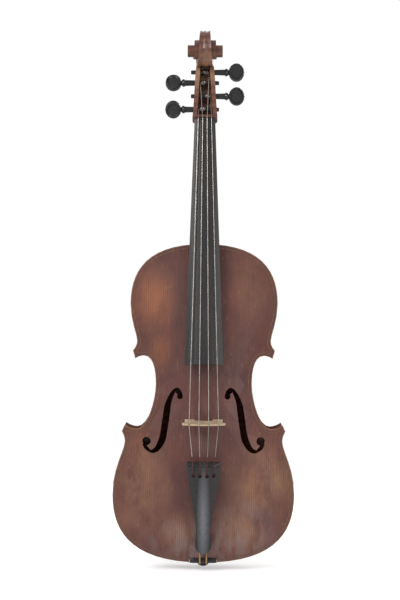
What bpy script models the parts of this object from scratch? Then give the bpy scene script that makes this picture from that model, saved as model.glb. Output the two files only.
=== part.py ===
"""A viola, in metres: +Z runs up the body to the scroll, the strings face -Y, +X is the treble side.

Heights are measured from the body's lower edge and depths from the front of the ribs. The finished
instrument hangs from the point under the scroll where a hanger would hold it.
"""

from math import asin, atan2, cos, hypot, pi, radians, sin, sqrt

import bmesh
import bpy
import numpy as np
from mathutils import Vector
from mathutils.geometry import delaunay_2d_cdt

# Clearances
GAP = 0.0003                 # between pieces that touch
FIT_GAP = 0.0006             # under pieces fitted to the arching inside
MITRE_TRIM = 0.0004          # taken off each rib end where two ribs meet
COINCIDENT = 1e-6            # points nearer than this are one point

# The plates' outline: half widths and heights of its widest and narrowest places
BODY_LENGTH = 0.406
UPPER_HALF, UPPER_Z = 0.0937, 0.3300
UPPER_NECKING_HALF, UPPER_NECKING_Z = 0.0850, 0.2825
WAIST_HALF, WAIST_Z = 0.0611, 0.2275
LOWER_NECKING_HALF, LOWER_NECKING_Z = 0.1003, 0.1545
LOWER_HALF, LOWER_Z = 0.1158, 0.0862
BOW_TOP_X, BOW_TOP_Z = 0.0765, 0.2637
BOW_LOW_X, BOW_LOW_Z = 0.0860, 0.1699
UPPER_CORNER = ((0.0904, 0.2701), (0.0875, 0.2600))
LOWER_CORNER = ((0.1008, 0.1750), (0.1042, 0.1671))

# How far each stretch of the outline keeps its first and last direction, as shares of its run
SHOULDER = (0.76, 0.57)
UPPER_FLANK = (0.47, 0.15)
BOW_UPPER = (0.85, 0.40)
BOW_LOWER = (0.37, 0.56)
LOWER_FLANK = (0.18, 0.52)
BASE = (0.54, 0.80)
HOOK = 0.5

# Plates
EDGE_THICKNESS = 0.0045
PLATE_THICKNESS = 0.0030
BELLY_RISE = 0.0135
BACK_RISE = 0.0115
EDGE_FLAT = 0.0090
END_FLAT = 0.0120
EDGE_ROUNDING = 0.0012
INNER_FLAT = 0.0030          # how much wider the flat is inside than outside
INNER_END_FLAT = 0.0140
BUTTON_HALF = 0.0115
BUTTON_LENGTH = 0.0135
OUTER_GRID = 0.0130
INNER_GRID = 0.0150

# Ribs, linings and blocks
RIB_HEIGHT = 0.038
RIB_THICKNESS = 0.0013
OVERHANG = 0.0030
CORNER_OVERHANG = 0.0035
CORNER_SHARPNESS = 2.2       # how much faster a rib corner draws in than the ribs' sides
LINING_THICKNESS = 0.0020
LINING_HEIGHT = 0.0080
CORNER_BLOCK_REACH = 0.0240
TOP_BLOCK_REACH = 0.0270
TOP_BLOCK_DEPTH = 0.0160
BOTTOM_BLOCK_REACH = 0.0260
BOTTOM_BLOCK_DEPTH = 0.0180
END_BLOCK_TAPER = 0.0060      # how far each end block draws in at its inner face

# F-holes, in half widths and in heights above the bridge line
FHOLE_UPPER_EYE = (0.0302, 0.0311)
FHOLE_UPPER_EYE_RADIUS = 0.00375
FHOLE_LOWER_EYE = (0.0726, -0.0264)
FHOLE_LOWER_EYE_RADIUS = 0.00545
FHOLE_OUTER_EDGE = (
    (0.0266, 0.0326), (0.0287, 0.0384), (0.0334, 0.0422), (0.0392, 0.0394), (0.0452, 0.0308),
    (0.0494, 0.0206), (0.0511, 0.0125), (0.0540, -0.0077), (0.0553, -0.0158), (0.0577, -0.0250),
    (0.0621, -0.0342), (0.0669, -0.0376),
)
FHOLE_LOWER_WING = ((0.0713, -0.0331), (0.0730, -0.0285))
FHOLE_INNER_EDGE = (
    (0.0778, -0.0300), (0.0760, -0.0352), (0.0713, -0.0392), (0.0641, -0.0417), (0.0560, -0.0376),
    (0.0489, -0.0265), (0.0464, -0.0150), (0.0440, 0.0010), (0.0425, 0.0120), (0.0412, 0.0220),
    (0.0390, 0.0300), (0.0362, 0.0362),
)
FHOLE_UPPER_WING = ((0.0324, 0.0330),)
NICK_DEPTH = 0.0015
NICK_HALF = 0.0011

# Bass bar and sound post
BASS_BAR_X = -0.0175
BASS_BAR_LENGTH = 0.270
BASS_BAR_THICKNESS = 0.0055
BASS_BAR_HEIGHT = 0.0110
BASS_BAR_END = 0.0035
POST_X = 0.0190
POST_BEHIND_BRIDGE = 0.0085
POST_RADIUS = 0.0033

# Neck and fingerboard
NECK_LENGTH = 0.1579         # from the body's top edge to the nut, along the fingerboard
NECK_ANGLE = radians(5.53)
OVERSTAND = 0.0080
MORTISE = 0.0080
NECK_WOOD_AT_NUT = 0.0115
NECK_WOOD_AT_BODY = 0.0150
HEEL_SWEEP = 0.0300
HEEL_BACK_HALF = 0.0110
FINGERBOARD_LENGTH = 0.3117
FINGERBOARD_NUT_HALF = 0.0132
FINGERBOARD_END_HALF = 0.0243
FINGERBOARD_EDGE = 0.0050
FINGERBOARD_RADIUS = 0.0420
FINGERBOARD_SCOOP = 0.0045
NECK_INSET = 0.0002
NUT_WIDTH = 0.0042
NUT_RISE = 0.0010
NUT_FALL = 0.0032            # how far the nut's top falls towards the pegbox
NUT_RIDGE = 0.3              # where it starts to fall, as a share of the width
GROOVE_DEPTH = 0.0005

# Pegbox: heights above the nut line, half widths and depths behind the neck's glued face
PEGBOX_STATIONS = (
    (0.0000, 0.0160, 0.0000, 0.0160), (0.0060, 0.0160, 0.0012, 0.0200),
    (0.0130, 0.0154, 0.0028, 0.0242), (0.0230, 0.0146, 0.0048, 0.0280),
    (0.0360, 0.0139, 0.0082, 0.0317), (0.0520, 0.0131, 0.0122, 0.0350),
    (0.0660, 0.0122, 0.0158, 0.0368),
)
PEGBOX_MOUTH = 0.0090        # from the nut line to the pegbox's opening
PEGBOX_END = 0.0738
PEGBOX_END_LIFT = 0.0015
CHEEK = 0.0057
PEGBOX_FLOOR = 0.0055
PEGBOX_FLOOR_ROUND = 0.0018

# Scroll: a spiral round the eyes, turn by turn
SCROLL_ABOVE_NUT = 0.0914
SCROLL_SET_BACK = 0.0140     # the eyes' depth behind the ribs' front
SCROLL_RADIUS = 0.0310
SCROLL_SHRINK = 0.54         # the radius after a turn, as a share of that before it
SCROLL_TURNS = 2.25
SCROLL_STEPS = 24            # per turn
SCROLL_HALF_WIDTHS = (
    (0.0, 0.0095), (0.25, 0.0060), (0.5, 0.0075), (0.75, 0.0105), (1.0, 0.0125), (1.25, 0.0135),
    (1.75, 0.0147), (2.25, 0.0185),
)
EYE_HALF = 0.0225
SCROLL_HOLLOW = 0.0012       # how far each side face is dished
FLUTE_DEPTH = 0.0012

# Pegs, from the nut up: name, height above the nut line, side of the head, turn of the head
PEGS = (
    ("c", 0.0164, -1, 38), ("a", 0.0341, 1, 4), ("g", 0.0519, -1, -36), ("d", 0.0662, 1, -6),
)
PEG_BELOW_EDGE = 0.0085
PEG_COLLAR_X = 0.0258        # from the centre line to the collar
PEG_STUB_X = 0.0182
PEG_RADIUS = 0.0039          # at the collar
PEG_TAPER = 1 / 34           # radius lost for each metre along the shaft
PEG_COLLAR_RADIUS = 0.0052
PEG_COLLAR_WIDTH = 0.0034
PEG_NECK_RADIUS = 0.0032
PEG_HEAD_LENGTH = 0.0207
PEG_HEAD_HEIGHT = 0.0240
PEG_HEAD_THICKNESS = 0.0084
STRING_HOLE_GAP = 0.0004

# Strings, bass to treble: name and diameter
STRINGS = (("c", 0.0012), ("g", 0.0010), ("d", 0.0009), ("a", 0.0008))
STRING_SPREAD_NUT = 0.0167
STRING_SPREAD_BRIDGE = 0.0367
WINDING_TURNS = {"c": 4, "g": 4, "d": 5, "a": 5}
WINDING_GAP = 0.00045        # between one turn and the next
STRING_WRAP = 100            # degrees that a string lies on its peg before its winding
LANE_GAP = 0.0007            # from the cheek to the string beside it

# Bridge, in half widths and in heights above the belly's ridge
BRIDGE_Z = 0.1812
BRIDGE_HEIGHT = 0.0350
BRIDGE_FOOT_DEPTH = 0.0054
BRIDGE_CROWN_DEPTH = 0.0017
BRIDGE_CROWN_HALF = 0.0268
BRIDGE_CROWN_RADIUS = 0.0450
BRIDGE_FOOT_HALF = 0.0240
BRIDGE_FOOT_INNER = 0.0115
BRIDGE_SIDE = (
    (0.0270, 0.0252), (0.0258, 0.0230), (0.0222, 0.0216), (0.0190, 0.0208), (0.0174, 0.0186),
    (0.0184, 0.0164), (0.0206, 0.0162), (0.0222, 0.0148), (0.0218, 0.0122), (0.0194, 0.0094),
    (0.0174, 0.0064), (0.0182, 0.0038), (0.0214, 0.0022),
)
BRIDGE_ARCH = ((0.0132, 0.0030), (0.0128, 0.0066), (0.0094, 0.0092), (0.0046, 0.0102))
BRIDGE_TOE = 0.0014
HEART_HEIGHT = 0.0185
HEART_SIZE = 0.0054

# Tailpiece, along its own length from the tail to the top
TAILPIECE_Z = 0.0140
TAILPIECE_LENGTH = 0.1220
TAILPIECE_HALF_WIDTHS = (
    (0.0, 0.0), (0.0012, 0.0048), (0.0045, 0.0086), (0.0100, 0.0102), (0.0180, 0.0098),
    (0.0290, 0.0090), (0.0450, 0.0102), (0.0700, 0.0142), (0.0950, 0.0184), (0.1120, 0.0208),
    (0.1200, 0.0213), (0.1220, 0.0204),
)
TAILPIECE_EDGE = 0.0030
TAILPIECE_CROWN_TOP = 0.0075
TAILPIECE_CROWN_TAIL = 0.0030
TAILPIECE_WALL = 0.0030
TAILPIECE_SOLID_END = 0.0120
TAILPIECE_DROP = 0.0010      # from the strings' line at the fret to the crown under it
KEYHOLE_SPACING = 0.0085
KEYHOLE_FROM_TOP = 0.0162
KEYHOLE_RADIUS = 0.0024
KEYHOLE_SLOT_HALF = 0.0009
KEYHOLE_SLOT_LENGTH = 0.0070
FRET_FROM_TOP = 0.0068
FRET_WIDTH = 0.0024
FRET_HEIGHT = 0.0015
BALL_RADIUS = 0.0021

# Saddle, tailgut and end button
SADDLE_HALF = 0.0173
SADDLE_DEPTH = 0.0063
SADDLE_HEIGHT = 0.0045       # above the belly's edge
TAILGUT_RADIUS = 0.0010
TAILGUT_HALF = 0.0042
BUTTON_SHAFT_RADIUS = 0.0039
BUTTON_GROOVE_RADIUS = 0.0046
BUTTON_HEAD_RADIUS = 0.0072
BUTTON_PROUD = 0.0109        # from the ribs to the button's end
BUTTON_SHAFT_LENGTH = 0.0170

# Hanging point, below the scroll's eyes and inside the pegbox's cheeks
HANGER_BELOW_EYES = 0.0200
HANGER_DEPTH = 0.0310

# Worked out from the sizes above
BELLY_FACE = -(GAP + EDGE_THICKNESS)          # depth of the belly's outer edge
BACK_INSIDE = RIB_HEIGHT + GAP
GLUE_AT_BODY = BELLY_FACE - OVERSTAND         # depth of the neck's glued face at the body
NUT_Z = BODY_LENGTH + NECK_LENGTH * cos(NECK_ANGLE)
SCROLL_Z = NUT_Z + SCROLL_ABOVE_NUT
BUTTON_Y = RIB_HEIGHT / 2


def finish(name, colour, roughness, metallic=0.0):
    """A plain material; colour is sRGB hex."""
    channels = [int(colour[i:i + 2], 16) / 255 for i in (1, 3, 5)]
    linear = [c / 12.92 if c <= 0.04045 else ((c + 0.055) / 1.055) ** 2.4 for c in channels]
    material = bpy.data.materials.new(name)
    material.use_nodes = True
    shader = material.node_tree.nodes["Principled BSDF"]
    shader.inputs["Base Color"].default_value = (*linear, 1)
    shader.inputs["Roughness"].default_value = roughness
    shader.inputs["Metallic"].default_value = metallic
    material.diffuse_color = (*linear, 1)
    return material


def lerp(a, b, share):
    return a + (b - a) * share


def table(value, pairs):
    """Read a table of (place, size) pairs between its rows."""
    return float(np.interp(value, [p[0] for p in pairs], [p[1] for p in pairs]))


def bezier(start, leave, arrive, end, steps):
    """Points along one cubic curve, both ends included."""
    points = []
    for i in range(steps + 1):
        t = i / steps
        shares = (1 - t) ** 3, 3 * (1 - t) ** 2 * t, 3 * (1 - t) * t * t, t ** 3
        points.append(tuple(
            sum(s * p[axis] for s, p in zip(shares, (start, leave, arrive, end)))
            for axis in range(len(start))
        ))
    return points


def smooth(points, steps):
    """A round line through the points (Catmull-Rom), in 2 or 3 dimensions."""
    padded = [points[0]] + list(points) + [points[-1]]
    line = [tuple(points[0])]
    for before, start, end, after in zip(padded, padded[1:], padded[2:], padded[3:]):
        leave = [s + (e - b) / 6 for b, s, e in zip(before, start, end)]
        arrive = [e - (a - s) / 6 for s, e, a in zip(start, end, after)]
        line += bezier(start, leave, arrive, end, steps)[1:]
    return line


def joined(*lines):
    """Lines laid end to end, each shared point kept once."""
    points = []
    for line in lines:
        points += [p for p in line if not points or hypot(p[0] - points[-1][0], p[1] - points[-1][1]) > COINCIDENT]
    return points


def mirrored(points):
    return [(-x, z) for x, z in reversed(points)]


def circle(centre, radius, count):
    return [
        (centre[0] + radius * cos(2 * pi * i / count), centre[1] + radius * sin(2 * pi * i / count))
        for i in range(count)
    ]


def handle(point, other, direction, share):
    """A curve handle that leaves point upright ('v') or level ('h')."""
    if direction == "v":
        return point[0], lerp(point[1], other[1], share)
    return lerp(point[0], other[0], share), point[1]


def swing(start, end, directions, shares, steps):
    """A curve that leaves and arrives upright or level."""
    leave = handle(start, end, directions[0], shares[0])
    arrive = handle(end, start, directions[1], shares[1])
    return bezier(start, leave, arrive, end, steps)


def hook(start, end, direction, steps):
    """The short turn from a bout into its corner."""
    bend = handle(start, end, direction, HOOK)
    leave = (lerp(start[0], bend[0], 2 / 3), lerp(start[1], bend[1], 2 / 3))
    arrive = (lerp(end[0], bend[0], 2 / 3), lerp(end[1], bend[1], 2 / 3))
    return bezier(start, leave, arrive, end, steps)


def corner_tips(corner, inset):
    """The two tips of a plate's corner, or the one tip where two ribs meet."""
    if inset == 0:
        return corner
    (ax, az), (bx, bz) = corner
    width = hypot(bx - ax, bz - az)
    inward = (bz - az) / width, -(bx - ax) / width
    reach = CORNER_OVERHANG + (inset - OVERHANG) * CORNER_SHARPNESS
    tip = (ax + bx) / 2 + inward[0] * reach, (az + bz) / 2 + inward[1] * reach
    return tip, tip


def bout_lines(inset=0.0):
    """The right half of the outline drawn in by inset: upper, centre and lower bout, top to bottom."""
    upper_top, upper_low = corner_tips(UPPER_CORNER, inset)
    lower_top, lower_low = corner_tips(LOWER_CORNER, inset)
    top, base = (0.0, BODY_LENGTH - inset), (0.0, inset)
    upper = UPPER_HALF - inset, UPPER_Z
    upper_necking = UPPER_NECKING_HALF - inset, UPPER_NECKING_Z
    bow_top = BOW_TOP_X - inset / 2, BOW_TOP_Z + inset
    waist = WAIST_HALF - inset, WAIST_Z
    bow_low = BOW_LOW_X - inset / 2, BOW_LOW_Z - inset
    lower_necking = LOWER_NECKING_HALF - inset, LOWER_NECKING_Z
    lower = LOWER_HALF - inset, LOWER_Z
    return (
        joined(
            swing(top, upper, "hv", SHOULDER, 14),
            swing(upper, upper_necking, "vv", UPPER_FLANK, 4),
            hook(upper_necking, upper_top, "v", 3),
        ),
        joined(
            hook(bow_top, upper_low, "h", 3)[::-1],
            swing(bow_top, waist, "hv", BOW_UPPER, 7),
            swing(waist, bow_low, "vh", BOW_LOWER, 8),
            hook(bow_low, lower_top, "h", 3),
        ),
        joined(
            hook(lower_necking, lower_low, "v", 3)[::-1],
            swing(lower_necking, lower, "vv", LOWER_FLANK, 6),
            swing(lower, base, "vh", BASE, 15),
        ),
    )


def plate_outline():
    right = joined(*bout_lines())
    return right + mirrored(right)[1:-1]


def drawn_in(line, inset):
    """A line moved to its right by inset, its corners mitred."""
    drawn = []
    for before, here, after in zip(line[:1] + line[:-1], line, line[1:] + line[-1:]):
        entry = Vector((here[0] - before[0], here[1] - before[1])).normalized()
        leave = Vector((after[0] - here[0], after[1] - here[1])).normalized()
        ahead = (entry + leave).normalized()
        reach = inset / max(0.5, ahead.dot(entry + leave) / (entry.length + leave.length))
        drawn.append((here[0] + ahead.y * reach, here[1] - ahead.x * reach))
    return drawn


def inset_loop(loop, inset):
    """A clockwise loop drawn inwards."""
    return drawn_in(loop[-1:] + loop + loop[:1], inset)[1:-1] if inset else list(loop)


def parity(points, loops):
    """Which points lie inside the first loop and outside the holes that follow it."""
    x, z = np.array(points).T
    found = np.zeros(len(x), bool)
    for loop in loops:
        for (ax, az), (bx, bz) in zip(loop, loop[1:] + loop[:1]):
            if az != bz:
                found ^= ((az > z) != (bz > z)) & (x < (bx - ax) * (z - az) / (bz - az) + ax)
    return found


def clearance(points, loops):
    """Each point's distance from the nearest edge."""
    points = np.array(points)
    nearest = np.full(len(points), np.inf)
    for loop in loops:
        for start, end in zip(loop, loop[1:] + loop[:1]):
            start, along = np.array(start), np.subtract(end, start)
            share = np.clip((points - start) @ along / max(along @ along, COINCIDENT ** 2), 0, 1)
            nearest = np.minimum(nearest, np.linalg.norm(points - start - share[:, None] * along, axis=1))
    return nearest


def grid_points(loops, pitch):
    """A staggered grid inside the loops, clear of their edges."""
    x, z = np.array(loops[0]).T
    rows = np.arange(z.min(), z.max(), pitch * sqrt(3) / 2)
    half = int((x.max() - x.min()) / pitch / 2) + 1
    points = [((i + 0.5 * (row % 2)) * pitch, height) for row, height in enumerate(rows) for i in range(-half, half + 1)]
    keep = parity(points, loops) & (clearance(points, loops) > 0.42 * pitch)
    return [p for p, kept in zip(points, keep) if kept]


def loop_edges(loops):
    edges, start = [], 0
    for loop in loops:
        edges += [(start + i, start + (i + 1) % len(loop)) for i in range(len(loop))]
        start += len(loop)
    return edges


def centres(points, faces):
    return [tuple(sum(points[i][axis] for i in face) / len(face) for axis in (0, 1)) for face in faces]


def triangulate(loops, pitch):
    """Triangles that fill the loops: points, faces and, for each loop, its points' places."""
    border = [p for loop in loops for p in loop]
    points = border + (grid_points(loops, pitch) if pitch else [])
    found, _, faces, origins, _, _ = delaunay_2d_cdt(
        [Vector(p) for p in points], loop_edges(loops), [], 0, COINCIDENT
    )
    place = {old: new for new, olds in enumerate(origins) for old in olds}
    keep = parity(centres(found, faces), loops)
    maps, start = [], 0
    for loop in loops:
        maps.append([place[start + i] for i in range(len(loop))])
        start += len(loop)
    return [tuple(p) for p in found], [f for f, kept in zip(faces, keep) if kept], maps


def union_outline(shapes):
    """The outline of several overlapping closed shapes."""
    found, _, faces, _, _, _ = delaunay_2d_cdt(
        [Vector(p) for shape in shapes for p in shape], loop_edges(shapes), [], 0, COINCIDENT
    )
    middle = centres(found, faces)
    keep = np.any([parity(middle, [shape]) for shape in shapes], axis=0)
    sides = {
        (face[i], face[(i + 1) % len(face)])
        for face, kept in zip(faces, keep) if kept for i in range(len(face))
    }
    following = {a: b for a, b in sides if (b, a) not in sides}
    first = max(following, key=lambda i: found[i].y)
    walk, here = [first], following[first]
    while here != first:
        if (found[here] - found[walk[-1]]).length > GAP / 2:
            walk.append(here)
        here = following[here]
    return [tuple(found[i]) for i in walk]


def slab(loops, front, back, front_pitch=None, back_pitch=None, rim=((0, 0), (0, 1))):
    """A plate between two depth fields, with walls round its edge and its holes.

    rim lists (inset, share of the depth) from the front face's border to the back face's.
    """
    rings = [inset_loop(loops[0], inset) for inset, _ in rim]
    front_points, front_faces, front_maps = triangulate([rings[0]] + loops[1:], front_pitch)
    back_points, back_faces, back_maps = triangulate([rings[-1]] + loops[1:], back_pitch)
    verts = [(x, front(x, z), z) for x, z in front_points]
    first_back = len(verts)
    verts += [(x, back(x, z), z) for x, z in back_points]
    faces = front_faces + [[first_back + i for i in face] for face in back_faces]
    rows = [front_maps[0]]
    for ring, (_, share) in list(zip(rings, rim))[1:-1]:
        rows.append(range(len(verts), len(verts) + len(ring)))
        verts += [(x, lerp(front(x, z), back(x, z), share), z) for x, z in ring]
    rows.append([first_back + i for i in back_maps[0]])
    walls = list(zip(rows, rows[1:])) + [
        (near, [first_back + i for i in far]) for near, far in zip(front_maps[1:], back_maps[1:])
    ]
    for near, far in walls:
        for i in range(len(near)):
            after = (i + 1) % len(near)
            faces.append((near[i], near[after], far[after], far[i]))
    return verts, faces


def prism(loop, front, back):
    """An outline in the plate's plane carried from one depth to another."""
    return loft([[(x, depth, z) for x, z in loop] for depth in (front, back)])


def loft(sections):
    """A skin over closed sections of equal count, with flat ends."""
    count = len(sections[0])
    verts = [tuple(p) for section in sections for p in section]
    faces = [tuple(range(count)), tuple(range(len(verts) - count, len(verts)))]
    for row in range(0, len(verts) - count, count):
        for i in range(count):
            after = (i + 1) % count
            faces.append((row + i, row + after, row + after + count, row + i + count))
    return verts, faces


def turned(profile, count, axis="x"):
    """A turned piece: profile lists (place along the axis, radius)."""
    sections = []
    for place, radius in profile:
        ring = circle((0, 0), radius, count)
        slot = "xyz".index(axis)
        sections.append([(a, b)[:slot] + (place,) + (a, b)[slot:] for a, b in ring])
    return loft(sections)


def add(name, shape, material, at=(0, 0, 0), turn=(0, 0, 0), parent=None, edge=35):
    """Make the object; edge is the angle in degrees above which an edge stays sharp."""
    verts, faces = shape
    mesh = bpy.data.meshes.new(name)
    mesh.from_pydata(verts, [], faces)
    work = bmesh.new()
    work.from_mesh(mesh)
    bmesh.ops.recalc_face_normals(work, faces=work.faces)
    work.to_mesh(mesh)
    work.free()
    mesh.shade_smooth()
    mesh.set_sharp_from_angle(angle=radians(edge))
    mesh.materials.append(material)
    return place(bpy.data.objects.new(name, mesh), at, turn, parent)


def place(obj, at=(0, 0, 0), turn=(0, 0, 0), parent=None):
    bpy.context.scene.collection.objects.link(obj)
    obj.parent = parent or bpy.data.objects["viola_frame"]
    obj.location = at
    obj.rotation_euler = turn
    return obj


def empty(name, at=(0, 0, 0), turn=(0, 0, 0), parent=None):
    frame = bpy.data.objects.new(name, None)
    bpy.context.scene.collection.objects.link(frame)
    frame.parent = parent
    frame.location = at
    frame.rotation_euler = turn
    return frame


def tube(name, points, radius, material, sides=8, swell=None, at=(0, 0, 0), parent=None):
    """A round bar through the points; swell scales the radius at single points."""
    curve = bpy.data.curves.new(name, "CURVE")
    curve.dimensions = "3D"
    curve.bevel_depth = radius
    curve.bevel_resolution = sides // 2 - 2
    curve.use_fill_caps = True
    curve.render_resolution_u = 0
    spline = curve.splines.new("POLY")
    spline.points.add(len(points) - 1)
    for i, (target, point) in enumerate(zip(spline.points, points)):
        target.co = (*point, 1)
        target.radius = (swell or {}).get(i, 1.0)
    curve.materials.append(material)
    return place(bpy.data.objects.new(name, curve), at, parent=parent)


def boolean(target, other, operation):
    """Cut or join another object, which then only guides."""
    other.hide_render = True
    other.display_type = "WIRE"
    step = target.modifiers.new(f"{operation.lower()}_{other.name}", "BOOLEAN")
    step.operation = operation
    step.object = other
    step.solver = "EXACT"


def bow_half(z):
    """Half the waist's width at a height between its two turns."""
    line = [p for p in bout_lines()[1] if p[0] <= max(BOW_TOP_X, BOW_LOW_X)]
    inner = [p for p in line if BOW_LOW_Z <= p[1] <= BOW_TOP_Z]
    return table(z, [(height, x) for x, height in sorted(inner, key=lambda p: p[1])])


def arch_half(z):
    """Half the width that the arching spans at a height, the corners left out."""
    upper, _, lower = bout_lines()
    if z <= LOWER_Z:
        return table(z, [(height, x) for x, height in reversed(lower) if height <= LOWER_Z])
    if z >= UPPER_Z:
        return table(z, [(height, x) for x, height in reversed(upper) if height >= UPPER_Z])
    wide, wide_z = (LOWER_HALF, LOWER_Z) if z < WAIST_Z else (UPPER_HALF, UPPER_Z)
    t = (z - wide_z) / (WAIST_Z - wide_z)
    half = lerp(wide, WAIST_HALF, (t * t * (3 - 2 * t)) ** 0.7)
    return min(half, bow_half(z)) if BOW_LOW_Z < z < BOW_TOP_Z else half


def arch(rise, side_flat, end_flat):
    """A depth field: the arching's height over a point of the plate, 0 on its flat edge."""
    heights = np.linspace(0, BODY_LENGTH, 160)
    halves = [(z, arch_half(z) - side_flat) for z in heights]

    def height(x, z):
        along = abs(2 * (z - end_flat) / (BODY_LENGTH - 2 * end_flat) - 1)
        half = table(z, halves)
        if along >= 1 or half <= abs(x):
            return 0.0
        return rise * (1 - along ** 3) ** 1.2 * (1 - (abs(x) / half) ** 2.4) ** 1.4

    return height


def plate_arches(rise):
    """The outer and the inner arching of one plate."""
    inner_rise = rise + EDGE_THICKNESS - PLATE_THICKNESS
    return arch(rise, EDGE_FLAT, END_FLAT), arch(
        inner_rise, EDGE_FLAT + INNER_FLAT, END_FLAT + INNER_END_FLAT
    )


def fhole(side):
    """One f-hole's outline: its stem, its two eyes and its two nicks."""
    stem = (
        smooth(FHOLE_OUTER_EDGE, 3) + list(FHOLE_LOWER_WING)
        + smooth(FHOLE_INNER_EDGE, 3) + list(FHOLE_UPPER_WING)
    )
    edges = [(z, x) for x, z in FHOLE_OUTER_EDGE[4:10]][::-1], [(z, x) for x, z in FHOLE_INNER_EDGE[5:11]]
    outer, inner = table(0, edges[0]), table(0, edges[1])
    nicks = [
        [(root - into, NICK_HALF), (root + into * NICK_DEPTH / GAP, 0), (root - into, -NICK_HALF)]
        for root, into in ((outer, GAP), (inner, -GAP))
    ]
    shapes = [
        stem, circle(FHOLE_UPPER_EYE, FHOLE_UPPER_EYE_RADIUS, 18),
        circle(FHOLE_LOWER_EYE, FHOLE_LOWER_EYE_RADIUS, 20), *nicks,
    ]
    loop = [(x, z + BRIDGE_Z) for x, z in union_outline(shapes)]
    return loop if side > 0 else mirrored(loop)


RIM = ((EDGE_ROUNDING, 0), (0, 0.30), (0, 0.80), (EDGE_ROUNDING / 2, 1))


def make_plates(belly_wood, back_wood):
    """The belly, with its f-holes, and the back, with its button."""
    outer, inner = plate_arches(BELLY_RISE)
    belly = add("belly", slab(
        [plate_outline(), fhole(1), fhole(-1)],
        lambda x, z: -EDGE_THICKNESS - outer(x, z), lambda x, z: -inner(x, z),
        OUTER_GRID, INNER_GRID, RIM,
    ), belly_wood, at=(0, -GAP, 0), edge=50)
    back_outer, back_inner = plate_arches(BACK_RISE)
    back = add("back_plate", slab(
        [with_button(plate_outline())],
        lambda x, z: EDGE_THICKNESS + back_outer(x, z), lambda x, z: back_inner(x, z),
        OUTER_GRID, INNER_GRID, RIM,
    ), back_wood, at=(0, BACK_INSIDE, 0), edge=50)
    return belly, back


def with_button(outline):
    """The back's outline with the button that backs the neck's heel."""
    reach = BUTTON_LENGTH - BUTTON_HALF
    top = [p for p in outline if not (abs(p[0]) < BUTTON_HALF and p[1] > BODY_LENGTH / 2)]
    shoulder_z = table(BUTTON_HALF, bout_lines()[0][:12])
    dome = [
        (-BUTTON_HALF * cos(pi * i / 10), BODY_LENGTH + reach + BUTTON_HALF * sin(pi * i / 10))
        for i in range(11)
    ]
    split = next(i for i, p in enumerate(top) if p[0] > 0)
    return (
        top[split:] + top[:split]
        + [(-BUTTON_HALF, shoulder_z)] + dome + [(BUTTON_HALF, shoulder_z)]
    )


def trimmed(line, start, end):
    """A line shortened by these lengths at its start and end."""
    for cut in (start, end):
        while cut > 0 and hypot(line[1][0] - line[0][0], line[1][1] - line[0][1]) <= cut:
            cut -= hypot(line[1][0] - line[0][0], line[1][1] - line[0][1])
            line = line[1:]
        if cut > 0:
            share = cut / hypot(line[1][0] - line[0][0], line[1][1] - line[0][1])
            line = [tuple(lerp(a, b, share) for a, b in zip(line[0], line[1]))] + line[1:]
        line = line[::-1]
    return line


def length(line):
    return sum(hypot(b[0] - a[0], b[1] - a[1]) for a, b in zip(line, line[1:]))


def side_loop(loop, side):
    return loop if side > 0 else [(-x, z) for x, z in loop]


def make_ribs(wood):
    """Six ribs; their ends are mitred at the corners and butt at the lower centre."""
    outer, inner = bout_lines(OVERHANG), bout_lines(OVERHANG + RIB_THICKNESS)
    trims = ((0, MITRE_TRIM), (MITRE_TRIM, MITRE_TRIM), (MITRE_TRIM, GAP / 2))
    ribs = {}
    for bout, near, far, trim in zip(("upper", "centre", "lower"), outer, inner, trims):
        band = trimmed(near, *trim) + trimmed(far, *trim)[::-1]
        for side, hand in ((-1, "bass"), (1, "treble")):
            name = f"{bout}_rib_{hand}"
            ribs[name] = add(name, prism(side_loop(band, side), 0, RIB_HEIGHT), wood)
    return ribs


def make_linings(wood):
    """Twelve strips along the ribs' edges, from block to block."""
    corner = CORNER_BLOCK_REACH + GAP
    trims = ((TOP_BLOCK_REACH + GAP, corner), (corner, corner), (corner, BOTTOM_BLOCK_REACH + GAP))
    lines = bout_lines(OVERHANG + RIB_THICKNESS + GAP)
    for bout, line, trim in zip(("upper", "centre", "lower"), lines, trims):
        near = trimmed(line, *trim)
        band = near + drawn_in(near, LINING_THICKNESS)[::-1]
        for side, hand in ((-1, "bass"), (1, "treble")):
            for plate, depth in (("belly", 0.0), ("back", RIB_HEIGHT - LINING_HEIGHT)):
                shape = prism(side_loop(band, side), 0, LINING_HEIGHT)
                add(f"{bout}_lining_{plate}_{hand}", shape, wood, at=(0, depth, 0))


def make_blocks(wood):
    """Four corner blocks and the two end blocks, fitted to the ribs' inner faces."""
    upper, centre, lower = bout_lines(OVERHANG + RIB_THICKNESS + GAP)
    corners = {
        "upper": upper[::-1], "lower": lower,
    }
    for bout, outer in corners.items():
        bow = centre if bout == "upper" else centre[::-1]
        outer = trimmed(outer, 0, length(outer) - CORNER_BLOCK_REACH)
        bow = trimmed(bow, 0, length(bow) - CORNER_BLOCK_REACH)
        loop = outer[::-1] + bow[1:]
        for side, hand in ((-1, "bass"), (1, "treble")):
            add(f"{bout}_corner_block_{hand}", prism(side_loop(loop, side), 0, RIB_HEIGHT), wood)
    head = trimmed(upper, 0, length(upper) - TOP_BLOCK_REACH)
    foot = trimmed(lower[::-1], 0, length(lower) - BOTTOM_BLOCK_REACH)
    ends = {}
    for name, line, depth in (
        ("top_block", head, -TOP_BLOCK_DEPTH), ("bottom_block", foot, BOTTOM_BLOCK_DEPTH)
    ):
        base = line[0][1] + depth
        half = line[-1][0] - END_BLOCK_TAPER
        loop = [(-half, base)] + mirrored(line) + line[1:] + [(half, base)]
        ends[name] = add(name, prism(loop, 0, RIB_HEIGHT), wood)
    return ends


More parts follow.
